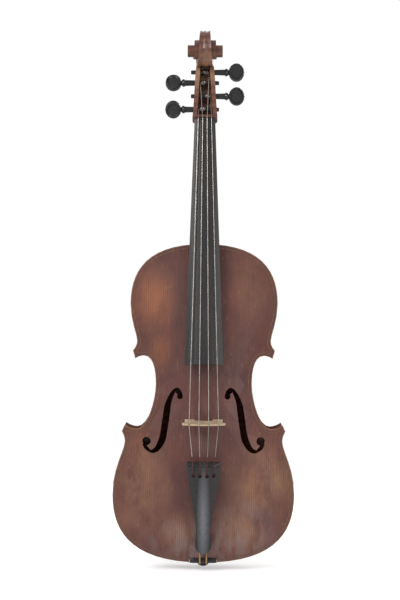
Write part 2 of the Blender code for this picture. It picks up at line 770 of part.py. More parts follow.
def make_bass_bar(wood):
    """The bar glued under the belly's bass side, tapering to its ends."""
    inner = plate_arches(BELLY_RISE)[1]
    sections = []
    for i in range(13):
        z = lerp(-0.5, 0.5, i / 12) * BASS_BAR_LENGTH
        height = lerp(BASS_BAR_END, BASS_BAR_HEIGHT, cos(pi * (i / 12 - 0.5)) ** 1.5)
        sides = [BASS_BAR_X - BASS_BAR_THICKNESS / 2, BASS_BAR_X + BASS_BAR_THICKNESS / 2]
        tops = [FIT_GAP - inner(x, BRIDGE_Z + z) for x in sides]
        low = max(tops) + height
        sections.append([
            (-BASS_BAR_THICKNESS / 2, tops[0], z), (BASS_BAR_THICKNESS / 2, tops[1], z),
            (BASS_BAR_THICKNESS / 2, low, z), (-BASS_BAR_THICKNESS / 2, low, z),
        ])
    add("bass_bar", loft(sections), wood, at=(BASS_BAR_X, -GAP, BRIDGE_Z))


def make_sound_post(wood):
    """The post wedged between the plates; its ends are cut to their slopes."""
    belly_inner, back_inner = plate_arches(BELLY_RISE)[1], plate_arches(BACK_RISE)[1]
    centre = POST_X, BRIDGE_Z - POST_BEHIND_BRIDGE
    ring = circle((0, 0), POST_RADIUS, 12)
    front = [(x, FIT_GAP - GAP - belly_inner(centre[0] + x, centre[1] + z), z) for x, z in ring]
    back = [(x, BACK_INSIDE - FIT_GAP + back_inner(centre[0] + x, centre[1] + z), z) for x, z in ring]
    add("sound_post", loft([front, back]), wood, at=(centre[0], 0, centre[1]))


def on_neck(x, rise, along):
    """A point given along the neck from the body's edge, and above its glued face."""
    return (
        x, GLUE_AT_BODY - rise * cos(NECK_ANGLE) + along * sin(NECK_ANGLE),
        BODY_LENGTH + along * cos(NECK_ANGLE) + rise * sin(NECK_ANGLE),
    )


def glue_depth(z):
    """Depth of the neck's glued face at a height."""
    return GLUE_AT_BODY + (z - BODY_LENGTH) * sin(NECK_ANGLE) / cos(NECK_ANGLE)


def fingerboard_half(along):
    """Half the fingerboard's width at a place along the neck."""
    end = NECK_LENGTH - FINGERBOARD_LENGTH
    return table(along, [(end, FINGERBOARD_END_HALF), (NECK_LENGTH, FINGERBOARD_NUT_HALF)])


def crown(half, radius=FINGERBOARD_RADIUS):
    """How far an arc stands above its own edges."""
    return radius - sqrt(radius * radius - half * half)


def arc_rise(x, half, radius=FINGERBOARD_RADIUS):
    """Height of an arc above its edges, off its centre."""
    return crown(half, radius) - crown(min(abs(x), half), radius)


def neck_section(z, half, front, back, fullness, taper):
    """A closed section: flat in front, rounded behind, drawn in towards the back by taper."""
    points = []
    for i in range(17):
        angle = pi * i / 16
        deep = sin(angle) ** (2 / fullness) if 0 < i < 16 else 0.0
        wide = abs(cos(angle)) ** (2 / fullness) * (-1 if angle < pi / 2 else 1)
        points.append((half * wide * (1 - taper * deep), lerp(front, back, deep), z))
    return points


def pegbox_section(z, half, front, back, flute):
    """A closed section: flat cheeks and a back with two flutes."""
    profile = (
        (1, 0, 0), (1, 0.34, 0), (1, 0.66, 0), (0.975, 0.86, 0), (0.90, 0.96, 0), (0.76, 1, 0),
        (0.52, 1, 0.75), (0.28, 1, 0.75),
    )
    side = [(wide * half, lerp(front, back, deep) - flute * cut, z) for wide, deep, cut in profile]
    return [(-x, y, z) for x, y, z in side] + [(0.0, back, z)] + side[::-1]


def neck_sections():
    """The neck from its root in the body to the nut, then the pegbox up to the scroll."""
    heel_end = BODY_LENGTH + BUTTON_LENGTH
    sweep_end = heel_end + HEEL_SWEEP
    sections = []
    for z in (BODY_LENGTH - MORTISE, BODY_LENGTH, BODY_LENGTH + 0.006, BODY_LENGTH + 0.010, heel_end - 0.001):
        share = max(0.0, (z - BODY_LENGTH) / BUTTON_LENGTH)
        half = fingerboard_half(max(0.0, z - BODY_LENGTH)) - NECK_INSET
        fullness = lerp(9, 3.2, share ** 1.5)
        taper = 1 - HEEL_BACK_HALF / half + 0.25 * share ** 3
        sections.append(neck_section(z, half, glue_depth(z), RIB_HEIGHT, fullness, taper))
    root_taper = sections and taper
    wood = NECK_WOOD_AT_BODY
    for i in range(1, 8):
        angle = pi / 2 * i / 7
        z = sweep_end - HEEL_SWEEP * cos(angle)
        back = lerp(RIB_HEIGHT, glue_depth(z) + wood, sin(angle))
        half = fingerboard_half(z - BODY_LENGTH) - NECK_INSET
        share = i / 7
        sections.append(neck_section(
            z, half, glue_depth(z), back, lerp(3.0, 2.15, share), lerp(root_taper, 0, share ** 0.8)
        ))
    for share in (0.3, 0.6, 0.85, 0.97):
        z = lerp(sweep_end, NUT_Z, share)
        back = glue_depth(z) + lerp(wood, NECK_WOOD_AT_NUT, share) + (0.0015 if share > 0.9 else 0)
        half = fingerboard_half(z - BODY_LENGTH) - NECK_INSET
        sections.append(neck_section(z, half, glue_depth(z), back, 2.15, 0))
    return sections


def pegbox_depths(z):
    """Half width, front depth and back depth of the pegbox at a height."""
    rise = z - NUT_Z
    half = table(rise, [(s[0], s[1]) for s in PEGBOX_STATIONS])
    front = table(rise, [(s[0], s[2]) for s in PEGBOX_STATIONS])
    back = table(rise, [(s[0], s[3]) for s in PEGBOX_STATIONS])
    return half, glue_depth(NUT_Z) + front, glue_depth(NUT_Z) + back


def pegbox_sections():
    """The pegbox, carried on into the scroll's first turn."""
    sections = []
    for rise, *_ in PEGBOX_STATIONS:
        half, front, back = pegbox_depths(NUT_Z + rise)
        flute = FLUTE_DEPTH * min(1.0, rise / PEGBOX_STATIONS[3][0])
        sections.append(pegbox_section(NUT_Z + rise, half, front, back, flute))
    half, front, back = pegbox_depths(NUT_Z + PEGBOX_STATIONS[-1][0])
    turn_half, turn_back = scroll_half(0), SCROLL_SET_BACK + scroll_radius(0)
    turn_front = SCROLL_SET_BACK + scroll_radius(1)
    for share in (0.4, 0.8, 1.0):
        z = lerp(NUT_Z + PEGBOX_STATIONS[-1][0], SCROLL_Z, share)
        round_back = lerp(back, turn_back, sin(pi / 2 * share))
        sections.append(pegbox_section(
            z, lerp(half, turn_half, share), lerp(front, turn_front, share), round_back, FLUTE_DEPTH
        ))
    top = [(x * 0.985, y if y < turn_back - 0.004 else y - GAP, z + 0.002) for x, y, z in sections[-1]]
    return sections + [[(x, y + GAP if i in (0, len(top) - 1) else y, z) for i, (x, y, z) in enumerate(top)]]


def scroll_radius(turn):
    return SCROLL_RADIUS * SCROLL_SHRINK ** turn


def scroll_half(turn):
    return table(turn, SCROLL_HALF_WIDTHS)


def scroll_point(turn, radius, x):
    angle = 2 * pi * turn
    return x, SCROLL_SET_BACK + radius * cos(angle), SCROLL_Z + radius * sin(angle)


def scroll_shape():
    """The volute: a fluted outer band that widens as it winds in, ledges and walls, two eyes."""
    steps = round(SCROLL_TURNS * SCROLL_STEPS)
    last = steps - SCROLL_STEPS
    eye_radius = scroll_radius(SCROLL_TURNS)
    share = scroll_half(0) / scroll_half(1)
    columns = ((-1, 0), (-share, 0.55), (-share / 2, 1), (0, 0), (share / 2, 1), (share, 0.55), (1, 0))
    verts, faces, index = [], [], {}

    def vertex(key, turn, radius, x):
        if key not in index:
            index[key] = len(verts)
            verts.append(scroll_point(turn, radius, x))
        return index[key]

    def band(i, column):
        wide, cut = columns[column]
        turn = i / SCROLL_STEPS
        if i == SCROLL_STEPS and column in (1, 5):
            return foot(i, wide / share)
        if column in (0, 6):
            return crest(i, wide)
        fade = min(1.0, 4 * turn + 0.4, 5 * (1 - turn))
        return vertex(("band", i, column), turn, scroll_radius(turn) - FLUTE_DEPTH * cut * fade, wide * scroll_half(turn))

    def crest(i, side):
        turn = i / SCROLL_STEPS
        return vertex(("crest", i, side), turn, scroll_radius(turn), side * scroll_half(turn))

    def foot(i, side):
        turn = i / SCROLL_STEPS
        side = -1 if side < 0 else 1
        return vertex(("foot", i, side), turn, scroll_radius(turn), side * scroll_half(turn - 1))

    def dish(i, side):
        turn = i / SCROLL_STEPS
        inner = scroll_radius(turn + 1) if i <= last else eye_radius
        radius = (scroll_radius(turn) + inner) / 2
        hollow = SCROLL_HOLLOW * min(1.0, (steps - i) / SCROLL_STEPS)
        return vertex(("dish", i, side), turn, radius, side * (scroll_half(turn) - hollow))

    def boss(i, side, top):
        if i == steps:
            i = last if top else i
            if not top:
                return crest(steps, side)
        if i == last and not top:
            return foot(steps, side)
        turn = i / SCROLL_STEPS
        return vertex(("boss", i, side, top), turn, eye_radius, side * (EYE_HALF if top else scroll_half(turn)))

    for i in range(SCROLL_STEPS):
        for column in range(6):
            faces.append((band(i, column), band(i, column + 1), band(i + 1, column + 1), band(i + 1, column)))
    for side in (-1, 1):
        for i in range(SCROLL_STEPS, steps):
            faces.append((foot(i, side), crest(i, side), crest(i + 1, side), foot(i + 1, side)))
        for i in range(last):
            far, far_next = foot(i + SCROLL_STEPS, side), foot(i + 1 + SCROLL_STEPS, side)
            faces.append((crest(i, side), dish(i, side), dish(i + 1, side), crest(i + 1, side)))
            faces.append((dish(i, side), far, far_next, dish(i + 1, side)))
        for i in range(last, steps):
            low, low_next = boss(i, side, False), boss(i + 1, side, False)
            if i + 1 == steps:
                faces.append((crest(i, side), dish(i, side), crest(steps, side)))
                faces.append((dish(i, side), low, crest(steps, side)))
            else:
                faces.append((crest(i, side), dish(i, side), dish(i + 1, side), crest(i + 1, side)))
                faces.append((dish(i, side), low, low_next, dish(i + 1, side)))
            wall = [low, low_next, boss(i + 1, side, True), boss(i, side, True)]
            if i == last:
                wall.append(crest(steps, side))
            faces.append(tuple(wall))
        faces.append(tuple(boss(i, side, True) for i in range(last, steps)))
    root = [band(0, column) for column in range(7)]
    inner = [band(SCROLL_STEPS, column) for column in range(5, 0, -1)]
    faces.append(tuple(root + [dish(0, 1)] + inner + [dish(0, -1)]))
    return verts, faces


def pegbox_cavity():
    """The pocket between the cheeks."""
    sections = []
    for rise in (PEGBOX_MOUTH, *(s[0] for s in PEGBOX_STATIONS if s[0] > PEGBOX_MOUTH), PEGBOX_END):
        half, front, back = pegbox_depths(NUT_Z + rise)
        lift = PEGBOX_END_LIFT if rise in (PEGBOX_MOUTH, PEGBOX_END) else 0.0
        inner, floor = half - CHEEK, back - PEGBOX_FLOOR - lift
        z = NUT_Z + rise
        side = [
            (inner, front - 0.0015), (inner, floor - PEGBOX_FLOOR_ROUND), (inner - PEGBOX_FLOOR_ROUND, floor),
        ]
        sections.append([(-x, y, z) for x, y in side] + [(x, y, z) for x, y in reversed(side)])
    return loft(sections)


def peg_place(rise):
    """Depth and height of a peg's axis."""
    z = NUT_Z + rise
    return pegbox_depths(z)[1] + PEG_BELOW_EDGE, z


def peg_radius(reach):
    """A peg's radius at a distance from the centre line towards its head."""
    return PEG_RADIUS - (PEG_COLLAR_X - reach) * PEG_TAPER


def make_neck(wood):
    """Heel, neck, pegbox and scroll, carved from one piece, bored for the pegs."""
    neck = add("neck", loft(neck_sections() + pegbox_sections()), wood, edge=40)
    boolean(neck, add("scroll_volute", scroll_shape(), wood), "UNION")
    boolean(neck, add("pegbox_pocket", pegbox_cavity(), wood), "DIFFERENCE")
    for name, rise, side, _ in PEGS:
        depth, z = peg_place(rise)
        reach = PEG_COLLAR_X
        bore = turned([(-side * reach, peg_radius(-reach) + GAP), (side * reach, peg_radius(reach) + GAP)], 16)
        boolean(neck, add(f"peg_bore_{name}", bore, wood, at=(0, depth, z)), "DIFFERENCE")
    return neck


def make_heel_socket(wood, pieces):
    """The mortise that the neck's root fills in the belly, the upper ribs and the top block."""
    z = BODY_LENGTH - MORTISE - GAP
    half = fingerboard_half(0) - NECK_INSET + GAP
    depths = (glue_depth(z), GLUE_AT_BODY), (RIB_HEIGHT, RIB_HEIGHT)
    low = [(half, depths[0][0] - 0.001), (HEEL_BACK_HALF + GAP, RIB_HEIGHT + 0.001)]
    sections = [
        [(-x, y, height) for x, y in low] + [(x, y, height) for x, y in reversed(low)]
        for height in (z, BODY_LENGTH + BUTTON_LENGTH)
    ]
    socket = add("heel_socket", loft(sections), wood)
    for piece in pieces:
        boolean(piece, socket, "DIFFERENCE")


def make_fingerboard(ebony, frame):
    """Arched on top, flat where it is glued and scooped where it runs free over the belly."""
    end = NECK_LENGTH - FINGERBOARD_LENGTH
    sections = []
    for along, scoop in ((end, 1.0), (end * 0.5, 0.9), (-0.012, 0.6), (-0.002, 0.0), (NECK_LENGTH, 0.0)):
        half = fingerboard_half(along)
        top = [(x * half, -FINGERBOARD_EDGE - arc_rise(x * half, half), along) for x in np.linspace(-1, 1, 11)]
        hollow = FINGERBOARD_SCOOP * scoop
        under = [(x * half, -hollow * (1 - (x / 0.8) ** 2) if abs(x) < 0.8 else 0.0, along) for x in (0.97, 0.8, 0.4, 0, -0.4, -0.8, -0.97)]
        sections.append(top + under)
    return add("fingerboard", loft(sections), ebony, at=(0, -GAP, 0), parent=frame)


def string_lanes(spread):
    """The four strings' places across the instrument, bass to treble."""
    return {name: lerp(-spread / 2, spread / 2, i / 3) for i, (name, _) in enumerate(STRINGS)}


def nut_rise(x):
    """Height of the nut's top above the neck's glued face."""
    half = FINGERBOARD_NUT_HALF
    return GAP + FINGERBOARD_EDGE + NUT_RISE + arc_rise(x, half)


def grooved(height, half, lanes):
    """A crown line with a small V groove under each string."""
    notch = GROOVE_DEPTH * 1.6
    places = [x for x in np.linspace(-half, half, 13) if all(abs(x - lane) > 1.4 * notch for lane in lanes)]
    points = [(x, height(x)) for x in places]
    for lane in lanes:
        points += [(x, height(x)) for x in (lane - notch, lane + notch)]
        points.append((lane, height(lane) - GROOVE_DEPTH))
    return sorted(points)


def make_nut(ebony, frame):
    half = FINGERBOARD_NUT_HALF
    top = grooved(lambda x: nut_rise(x) - GAP, half, string_lanes(STRING_SPREAD_NUT).values())
    stations = ((0.0, 0.0), (NUT_RIDGE, 0.0), (1.0, NUT_FALL))
    sections = [
        [(x, fall - rise, share * NUT_WIDTH) for x, rise in top]
        + [(half, 0.0, share * NUT_WIDTH), (-half, 0.0, share * NUT_WIDTH)]
        for share, fall in stations
    ]
    return add("nut", loft(sections), ebony, at=(0, -GAP, NECK_LENGTH + GAP), parent=frame)


def peg_head():
    """The flat head: a dished disc, drawn oval."""
    radius, half = PEG_HEAD_HEIGHT / 2, PEG_HEAD_THICKNESS / 2
    profile = ((0.30, 0.62), (0.66, 0.60), (0.80, 0.95), (0.92, 1.0), (1.0, 0.45))
    rows = [(-share * half, r * radius) for r, share in profile] + [(share * half, r * radius) for r, share in reversed(profile)]
    verts, faces = turned(rows, 16)
    stretch = PEG_HEAD_LENGTH / PEG_HEAD_HEIGHT
    return [(y * stretch, x, z) for x, y, z in verts], faces


def make_pegs(ebony):
    """Four tapered pegs; each turns about its own axis, its head outside the pegbox."""
    pegs = {}
    for name, rise, side, turn in PEGS:
        depth, z = peg_place(rise)
        collar = PEG_COLLAR_X
        head_start = collar + PEG_COLLAR_WIDTH + 0.0012
        profile = [
            (-PEG_STUB_X, peg_radius(-PEG_STUB_X) * 0.8), (-PEG_STUB_X + 0.0007, peg_radius(-PEG_STUB_X)),
            (collar, PEG_RADIUS), (collar + 0.0004, PEG_COLLAR_RADIUS * 0.9),
            (collar + PEG_COLLAR_WIDTH / 2, PEG_COLLAR_RADIUS),
            (collar + PEG_COLLAR_WIDTH, PEG_COLLAR_RADIUS * 0.85), (head_start, PEG_NECK_RADIUS),
            (head_start + 0.003, PEG_NECK_RADIUS),
        ]
        peg = add(
            f"peg_{name}", turned([(side * x, r) for x, r in profile], 16), ebony,
            at=(0, depth, z), turn=(radians(turn), 0, 0),
        )
        head = add(f"head_{name}", peg_head(), ebony, at=(side * (head_start + PEG_HEAD_LENGTH / 2), 0, 0), parent=peg)
        boolean(peg, head, "UNION")
        pegs[name] = peg
    return pegs


def winding_start(name, side, diameter, rise):
    """Where a string lies on its peg: its lane's distance towards the head, from the centre line."""
    inner = pegbox_depths(NUT_Z + rise)[0] - CHEEK
    return inner - LANE_GAP - diameter / 2


def least_gap(points, diameter, per_turn):
    """The smallest gap between one turn of a tube and the others."""
    points = np.array(points)
    gaps = []
    for i in range(len(points) - per_turn // 2):
        others = points[i + per_turn // 2:]
        gaps.append(np.linalg.norm(others - points[i], axis=1).min())
    return min(gaps) - diameter


def winding_points(name, side, diameter, rise):
    """A string's turns on its peg, from the hole in the shaft towards the head."""
    pitch = diameter + WINDING_GAP
    turns, per_turn = WINDING_TURNS[name], 24
    lane = winding_start(name, side, diameter, rise)
    hole = lane - pitch * (turns + 1.25)
    points = []
    for i in range(turns * per_turn + 1):
        reach = hole + pitch * (0.25 + i / per_turn)
        radius = peg_radius(reach) + GAP + diameter / 2
        angle = -2 * pi * i / per_turn
        points.append((side * reach, -radius * cos(angle), -radius * sin(angle)))
    entry = points[0]
    shaft = peg_radius(hole)
    mouth = (entry[0], -(shaft + GAP + diameter / 2), 0.0)
    bottom = (entry[0], -(shaft * 0.45), 0.0)
    print(f"winding_{name}: least gap {least_gap(points, diameter, per_turn) * 1000:.2f} mm")
    return [bottom, mouth] + points[1:], entry[0]


def make_windings(pegs, metal, ebony):
    """The turns of each string, and the hole in its peg that holds their end."""
    sizes = dict(STRINGS)
    for name, rise, side, _ in PEGS:
        diameter = sizes[name]
        points, hole_x = winding_points(name, side, diameter, rise)
        peg = pegs[name]
        turn = -peg.rotation_euler.x
        turned_points = [(x, y * cos(turn) - z * sin(turn), y * sin(turn) + z * cos(turn)) for x, y, z in points]
        tube(f"winding_{name}", turned_points, diameter / 2, metal, sides=6, parent=peg)
        radius = diameter / 2 + STRING_HOLE_GAP
        hole = add(
            f"string_hole_{name}", turned([(-PEG_RADIUS * 2, radius), (PEG_RADIUS * 2, radius)], 8, "y"),
            ebony, at=(hole_x, 0, 0), turn=(turn, 0, 0), parent=peg,
        )
        boolean(peg, hole, "DIFFERENCE")


def bridge_top():
    """Depth of the belly's ridge under the bridge."""
    return BELLY_FACE - plate_arches(BELLY_RISE)[0](0, BRIDGE_Z)


def bridge_rise(x):
    """Height of the bridge's crown above the belly's ridge."""
    return BRIDGE_HEIGHT - crown(abs(x), BRIDGE_CROWN_RADIUS)


def heart(count=14):
    """The cut-out in the middle of the bridge."""
    points = []
    for i in range(count):
        t = 2 * pi * (i + 0.5) / count
        x = 16 * sin(t) ** 3 / 17
        z = (13 * cos(t) - 5 * cos(2 * t) - 2 * cos(3 * t) - cos(4 * t)) / 17
        points.append((HEART_SIZE * x, HEART_HEIGHT + HEART_SIZE * z))
    return points


def make_bridge(maple):
    """The bridge: thin at its crown, its feet fitted to the belly, with heart, arms and arch."""
    outer = plate_arches(BELLY_RISE)[0]
    ridge = outer(0, BRIDGE_Z)

    def foot(x):
        return outer(x, BRIDGE_Z) - ridge + GAP

    top = grooved(bridge_rise, BRIDGE_CROWN_HALF, string_lanes(STRING_SPREAD_BRIDGE).values())
    side = smooth(BRIDGE_SIDE, 2) + [(BRIDGE_FOOT_HALF, foot(BRIDGE_FOOT_HALF) + BRIDGE_TOE)]
    sole = [
        (x, foot(x))
        for x in np.linspace(BRIDGE_FOOT_HALF, BRIDGE_FOOT_INNER, 4)
    ]
    arch_line = [(BRIDGE_FOOT_INNER, foot(BRIDGE_FOOT_INNER) + BRIDGE_TOE)] + smooth(BRIDGE_ARCH, 2)
    right = side + sole + arch_line
    ridge_point = [(0.0, BRIDGE_ARCH[-1][1])]
    loop = top + right + ridge_point + mirrored(right)

    def thickness(z):
        return lerp(BRIDGE_FOOT_DEPTH, BRIDGE_CROWN_DEPTH, min(1.0, max(0.0, z / BRIDGE_HEIGHT)))

    shape = slab(
        [loop, heart()], lambda x, z: BRIDGE_FOOT_DEPTH / 2, lambda x, z: BRIDGE_FOOT_DEPTH / 2 - thickness(z),
    )
    verts = [(x, -y, z) for x, y, z in shape[0]]
    add("bridge", (verts, shape[1]), maple, at=(0, bridge_top(), BRIDGE_Z), turn=(pi / 2, 0, 0), edge=30)


def tailpiece_frame():
    """The tailpiece's tail and its lean, so that its crown lies under the strings' pull."""
    bridge_depth = bridge_top() - BRIDGE_HEIGHT
    saddle_depth = BELLY_FACE - SADDLE_HEIGHT - TAILGUT_RADIUS * 2
    lean = atan2(saddle_depth - bridge_depth, BRIDGE_Z - SADDLE_DEPTH / 2)
    tail_depth = saddle_depth - (TAILPIECE_Z - SADDLE_DEPTH / 2) * sin(lean) / cos(lean)
    return (0, tail_depth + TAILPIECE_EDGE / 2 + TAILPIECE_DROP, TAILPIECE_Z), lean


def tailpiece_half(z):
    return table(z, TAILPIECE_HALF_WIDTHS)


def tailpiece_rise(x, z):
    """Height of the tailpiece's outer face above its edges."""
    half = max(tailpiece_half(z), COINCIDENT)
    top = lerp(TAILPIECE_CROWN_TAIL, TAILPIECE_CROWN_TOP, min(1.0, max(0.0, z / TAILPIECE_LENGTH)) ** 1.3)
    return top * max(0.0, 1 - (x / half) ** 2) ** 0.9


def keyhole_lanes():
    return [KEYHOLE_SPACING * (i - 1.5) for i in range(4)]


def make_tailpiece(ebony):
    """A hollow wedge with four keyholes; its fret is a piece of its own."""
    at, lean = tailpiece_frame()
    right = [(half, z) for z, half in TAILPIECE_HALF_WIDTHS]
    right = joined(right[:1], smooth(right[1:-1], 3), right[-1:])
    outline = right + mirrored(right)[:-1]
    outline = outline[::-1]
    hole_z = TAILPIECE_LENGTH - KEYHOLE_FROM_TOP
    holes = []
    for lane in keyhole_lanes():
        slot = [
            (lane - KEYHOLE_SLOT_HALF, hole_z), (lane + KEYHOLE_SLOT_HALF, hole_z),
            (lane + KEYHOLE_SLOT_HALF, hole_z + KEYHOLE_SLOT_LENGTH),
            (lane - KEYHOLE_SLOT_HALF, hole_z + KEYHOLE_SLOT_LENGTH),
        ]
        holes.append(union_outline([circle((lane, hole_z), KEYHOLE_RADIUS, 10), slot]))

    def hollow(x, z):
        half = tailpiece_half(z) - TAILPIECE_WALL
        inside = TAILPIECE_SOLID_END < z < TAILPIECE_LENGTH - TAILPIECE_WALL and abs(x) < half
        return max(0.0, tailpiece_rise(x, z) + TAILPIECE_EDGE - TAILPIECE_WALL) if inside else 0.0

    shape = slab(
        [outline] + holes, lambda x, z: -TAILPIECE_EDGE - tailpiece_rise(x, z), lambda x, z: -hollow(x, z),
        0.0075, 0.0075,
    )
    frame = empty("tailpiece_frame", at, (lean, 0, 0), bpy.data.objects["viola_frame"])
    add("tailpiece", shape, ebony, parent=frame)
    fret_z = TAILPIECE_LENGTH - FRET_FROM_TOP
    half = tailpiece_half(fret_z) - TAILPIECE_WALL / 2
    places = np.linspace(-half, half, 13)
    over = [(x, -TAILPIECE_EDGE - tailpiece_rise(x, fret_z) - GAP - FRET_HEIGHT) for x in places]
    under = [(x, -TAILPIECE_EDGE - tailpiece_rise(x, fret_z) - GAP) for x in reversed(places)]
    sections = [[(x, y, z) for x, y in over + under] for z in (0.0, FRET_WIDTH)]
    add("tailpiece_fret", loft(sections), ebony, at=(0, 0, fret_z), parent=frame)
    return frame


def in_tailpiece(point):
    """A point of the tailpiece's own frame, in the instrument's."""
    at, lean = tailpiece_frame()
    x, y, z = point
    return x, at[1] + y * cos(lean) - z * sin(lean), at[2] + y * sin(lean) + z * cos(lean)


def string_points(name, diameter, rise, side):
    """A string from its ball under the tailpiece, over fret, bridge and nut, to its peg."""
    radius = diameter / 2
    order = [s[0] for s in STRINGS].index(name)
    at_nut = string_lanes(STRING_SPREAD_NUT)[name]
    at_bridge = string_lanes(STRING_SPREAD_BRIDGE)[name]
    lane = keyhole_lanes()[order]
    hole_z = TAILPIECE_LENGTH - KEYHOLE_FROM_TOP
    fret_z = TAILPIECE_LENGTH - FRET_FROM_TOP + FRET_WIDTH / 2
    shell = TAILPIECE_EDGE + tailpiece_rise(lane, hole_z)
    fret = TAILPIECE_EDGE + tailpiece_rise(lane, fret_z) + GAP + FRET_HEIGHT + radius + FIT_GAP
    tail = [
        (lane, -(shell - TAILPIECE_WALL) + BALL_RADIUS * 1.5, hole_z - 0.0004),
        (lane, -(shell - TAILPIECE_WALL) + BALL_RADIUS * 0.6, hole_z - 0.0002),
        (lane, -shell - 0.0003, hole_z + 0.0008), (lane, -fret, fret_z),
    ]
    line = [in_tailpiece(p) for p in tail]
    bridge_y = bridge_top() - bridge_rise(at_bridge) + GROOVE_DEPTH - radius - FIT_GAP
    crown_z = BRIDGE_Z - BRIDGE_FOOT_DEPTH / 2 + BRIDGE_CROWN_DEPTH / 2
    line.append((at_bridge, bridge_y, crown_z))
    nut = on_neck(at_nut, nut_rise(at_nut) - GROOVE_DEPTH + radius + FIT_GAP, NECK_LENGTH + GAP + NUT_RIDGE * NUT_WIDTH)
    line.append(nut)
    depth, z = peg_place(rise)
    reach = winding_start(name, side, diameter, rise)
    turn_radius = peg_radius(reach) + GAP + radius
    away = hypot(nut[1] - depth, nut[2] - z)
    lead = atan2(nut[2] - z, nut[1] - depth)
    contact = lead - (pi / 2 - asin(turn_radius / away))
    steps = 7
    for i in range(steps + 1):
        angle = contact - radians(STRING_WRAP) * i / steps
        line.append((side * reach, depth + turn_radius * cos(angle), z + turn_radius * sin(angle)))
    return line


def make_strings(metal):
    sizes = dict(STRINGS)
    for name, rise, side, _ in PEGS:
        diameter = sizes[name]
        ball = BALL_RADIUS / (diameter / 2)
        points = string_points(name, diameter, rise, side)
        tube(f"string_{name}", points, diameter / 2, metal, sides=8, swell={0: ball, 1: ball})


def make_saddle(ebony, belly):
    """The saddle that carries the tailgut over the belly's edge."""
    height = EDGE_THICKNESS + SADDLE_HEIGHT + GAP
    profile = ((-0.0, 0.0), (0.0, -height * 0.72), (0.0014, -height), (0.0028, -height), (SADDLE_DEPTH, -height * 0.62), (SADDLE_DEPTH, 0.0))
    sections = []
    for x, share in ((-SADDLE_HALF, 0.72), (-SADDLE_HALF * 0.72, 1.0), (SADDLE_HALF * 0.72, 1.0), (SADDLE_HALF, 0.72)):
        sections.append([(x, y * share, z) for z, y in profile])
    add("saddle", loft(sections), ebony, at=(0, -GAP, 0), edge=30)
    margin = SADDLE_HALF + GAP
    outline = [(-margin, -0.002), (-margin, SADDLE_DEPTH + GAP), (margin, SADDLE_DEPTH + GAP), (margin, -0.002)]
    notch = add("saddle_notch", prism(outline, -0.002 - EDGE_THICKNESS, 0.001), ebony)
    boolean(belly, notch, "DIFFERENCE")


def make_tailgut(gut):
    """One loop: from the tailpiece over the saddle, round the end button and back."""
    radius = TAILGUT_RADIUS
    clear = radius + GAP
    saddle_top = BELLY_FACE - SADDLE_HEIGHT - clear - GAP
    knot = in_tailpiece((0, clear + 0.0002, TAILPIECE_SOLID_END + 0.012))
    under = in_tailpiece((0, clear + 0.0002, 0.002))
    loop_radius = BUTTON_GROOVE_RADIUS + clear
    loop_z = OVERHANG - 0.0030
    half_route = [
        (TAILGUT_HALF, knot[1], knot[2]), (TAILGUT_HALF, under[1], under[2]),
        (TAILGUT_HALF, saddle_top, SADDLE_DEPTH * 0.55), (TAILGUT_HALF, saddle_top, 0.0010),
        (TAILGUT_HALF * 1.05, BELLY_FACE - SADDLE_HEIGHT * 0.55, -clear * 1.15),
        (TAILGUT_HALF * 1.12, 0.0, -clear), (loop_radius * 0.95, BUTTON_Y - loop_radius * 1.2, loop_z - 0.0003),
        (loop_radius, BUTTON_Y, loop_z),
    ]
    arc = [
        (loop_radius * cos(pi * i / 8), BUTTON_Y + loop_radius * sin(pi * i / 8), loop_z)
        for i in range(1, 8)
    ]
    right = smooth(half_route, 4)
    route = right + arc + [(-x, y, z) for x, y, z in reversed(right)]
    knot_swell = {0: 1.7, 1: 1.7, len(route) - 2: 1.7, len(route) - 1: 1.7}
    tube("tailgut", route, radius, gut, sides=8, swell=knot_swell)


def make_end_button(ebony, pieces):
    """The button in the bottom block, through the joint of the lower ribs."""
    head = BUTTON_HEAD_RADIUS
    shaft_end = BUTTON_SHAFT_LENGTH
    profile = [
        (shaft_end, BUTTON_SHAFT_RADIUS * 0.8), (-GAP, BUTTON_SHAFT_RADIUS), (-GAP, head * 0.92),
        (-0.0012, head * 0.95), (-0.0015, BUTTON_GROOVE_RADIUS), (-0.0044, BUTTON_GROOVE_RADIUS),
        (-0.0047, head * 0.90), (-0.0058, head), (-0.0082, head * 0.98), (-0.0101, head * 0.74),
        (-BUTTON_PROUD, head * 0.36),
    ]
    add("end_button", turned(profile, 20, "z"), ebony, at=(0, BUTTON_Y, OVERHANG), edge=40)
    bore_profile = [(-0.002, BUTTON_SHAFT_RADIUS + GAP), (shaft_end + 0.004, BUTTON_SHAFT_RADIUS * 0.78 + GAP)]
    bore = add("button_bore", turned(bore_profile, 20, "z"), ebony, at=(0, BUTTON_Y, OVERHANG))
    for piece in pieces:
        boolean(piece, bore, "DIFFERENCE")


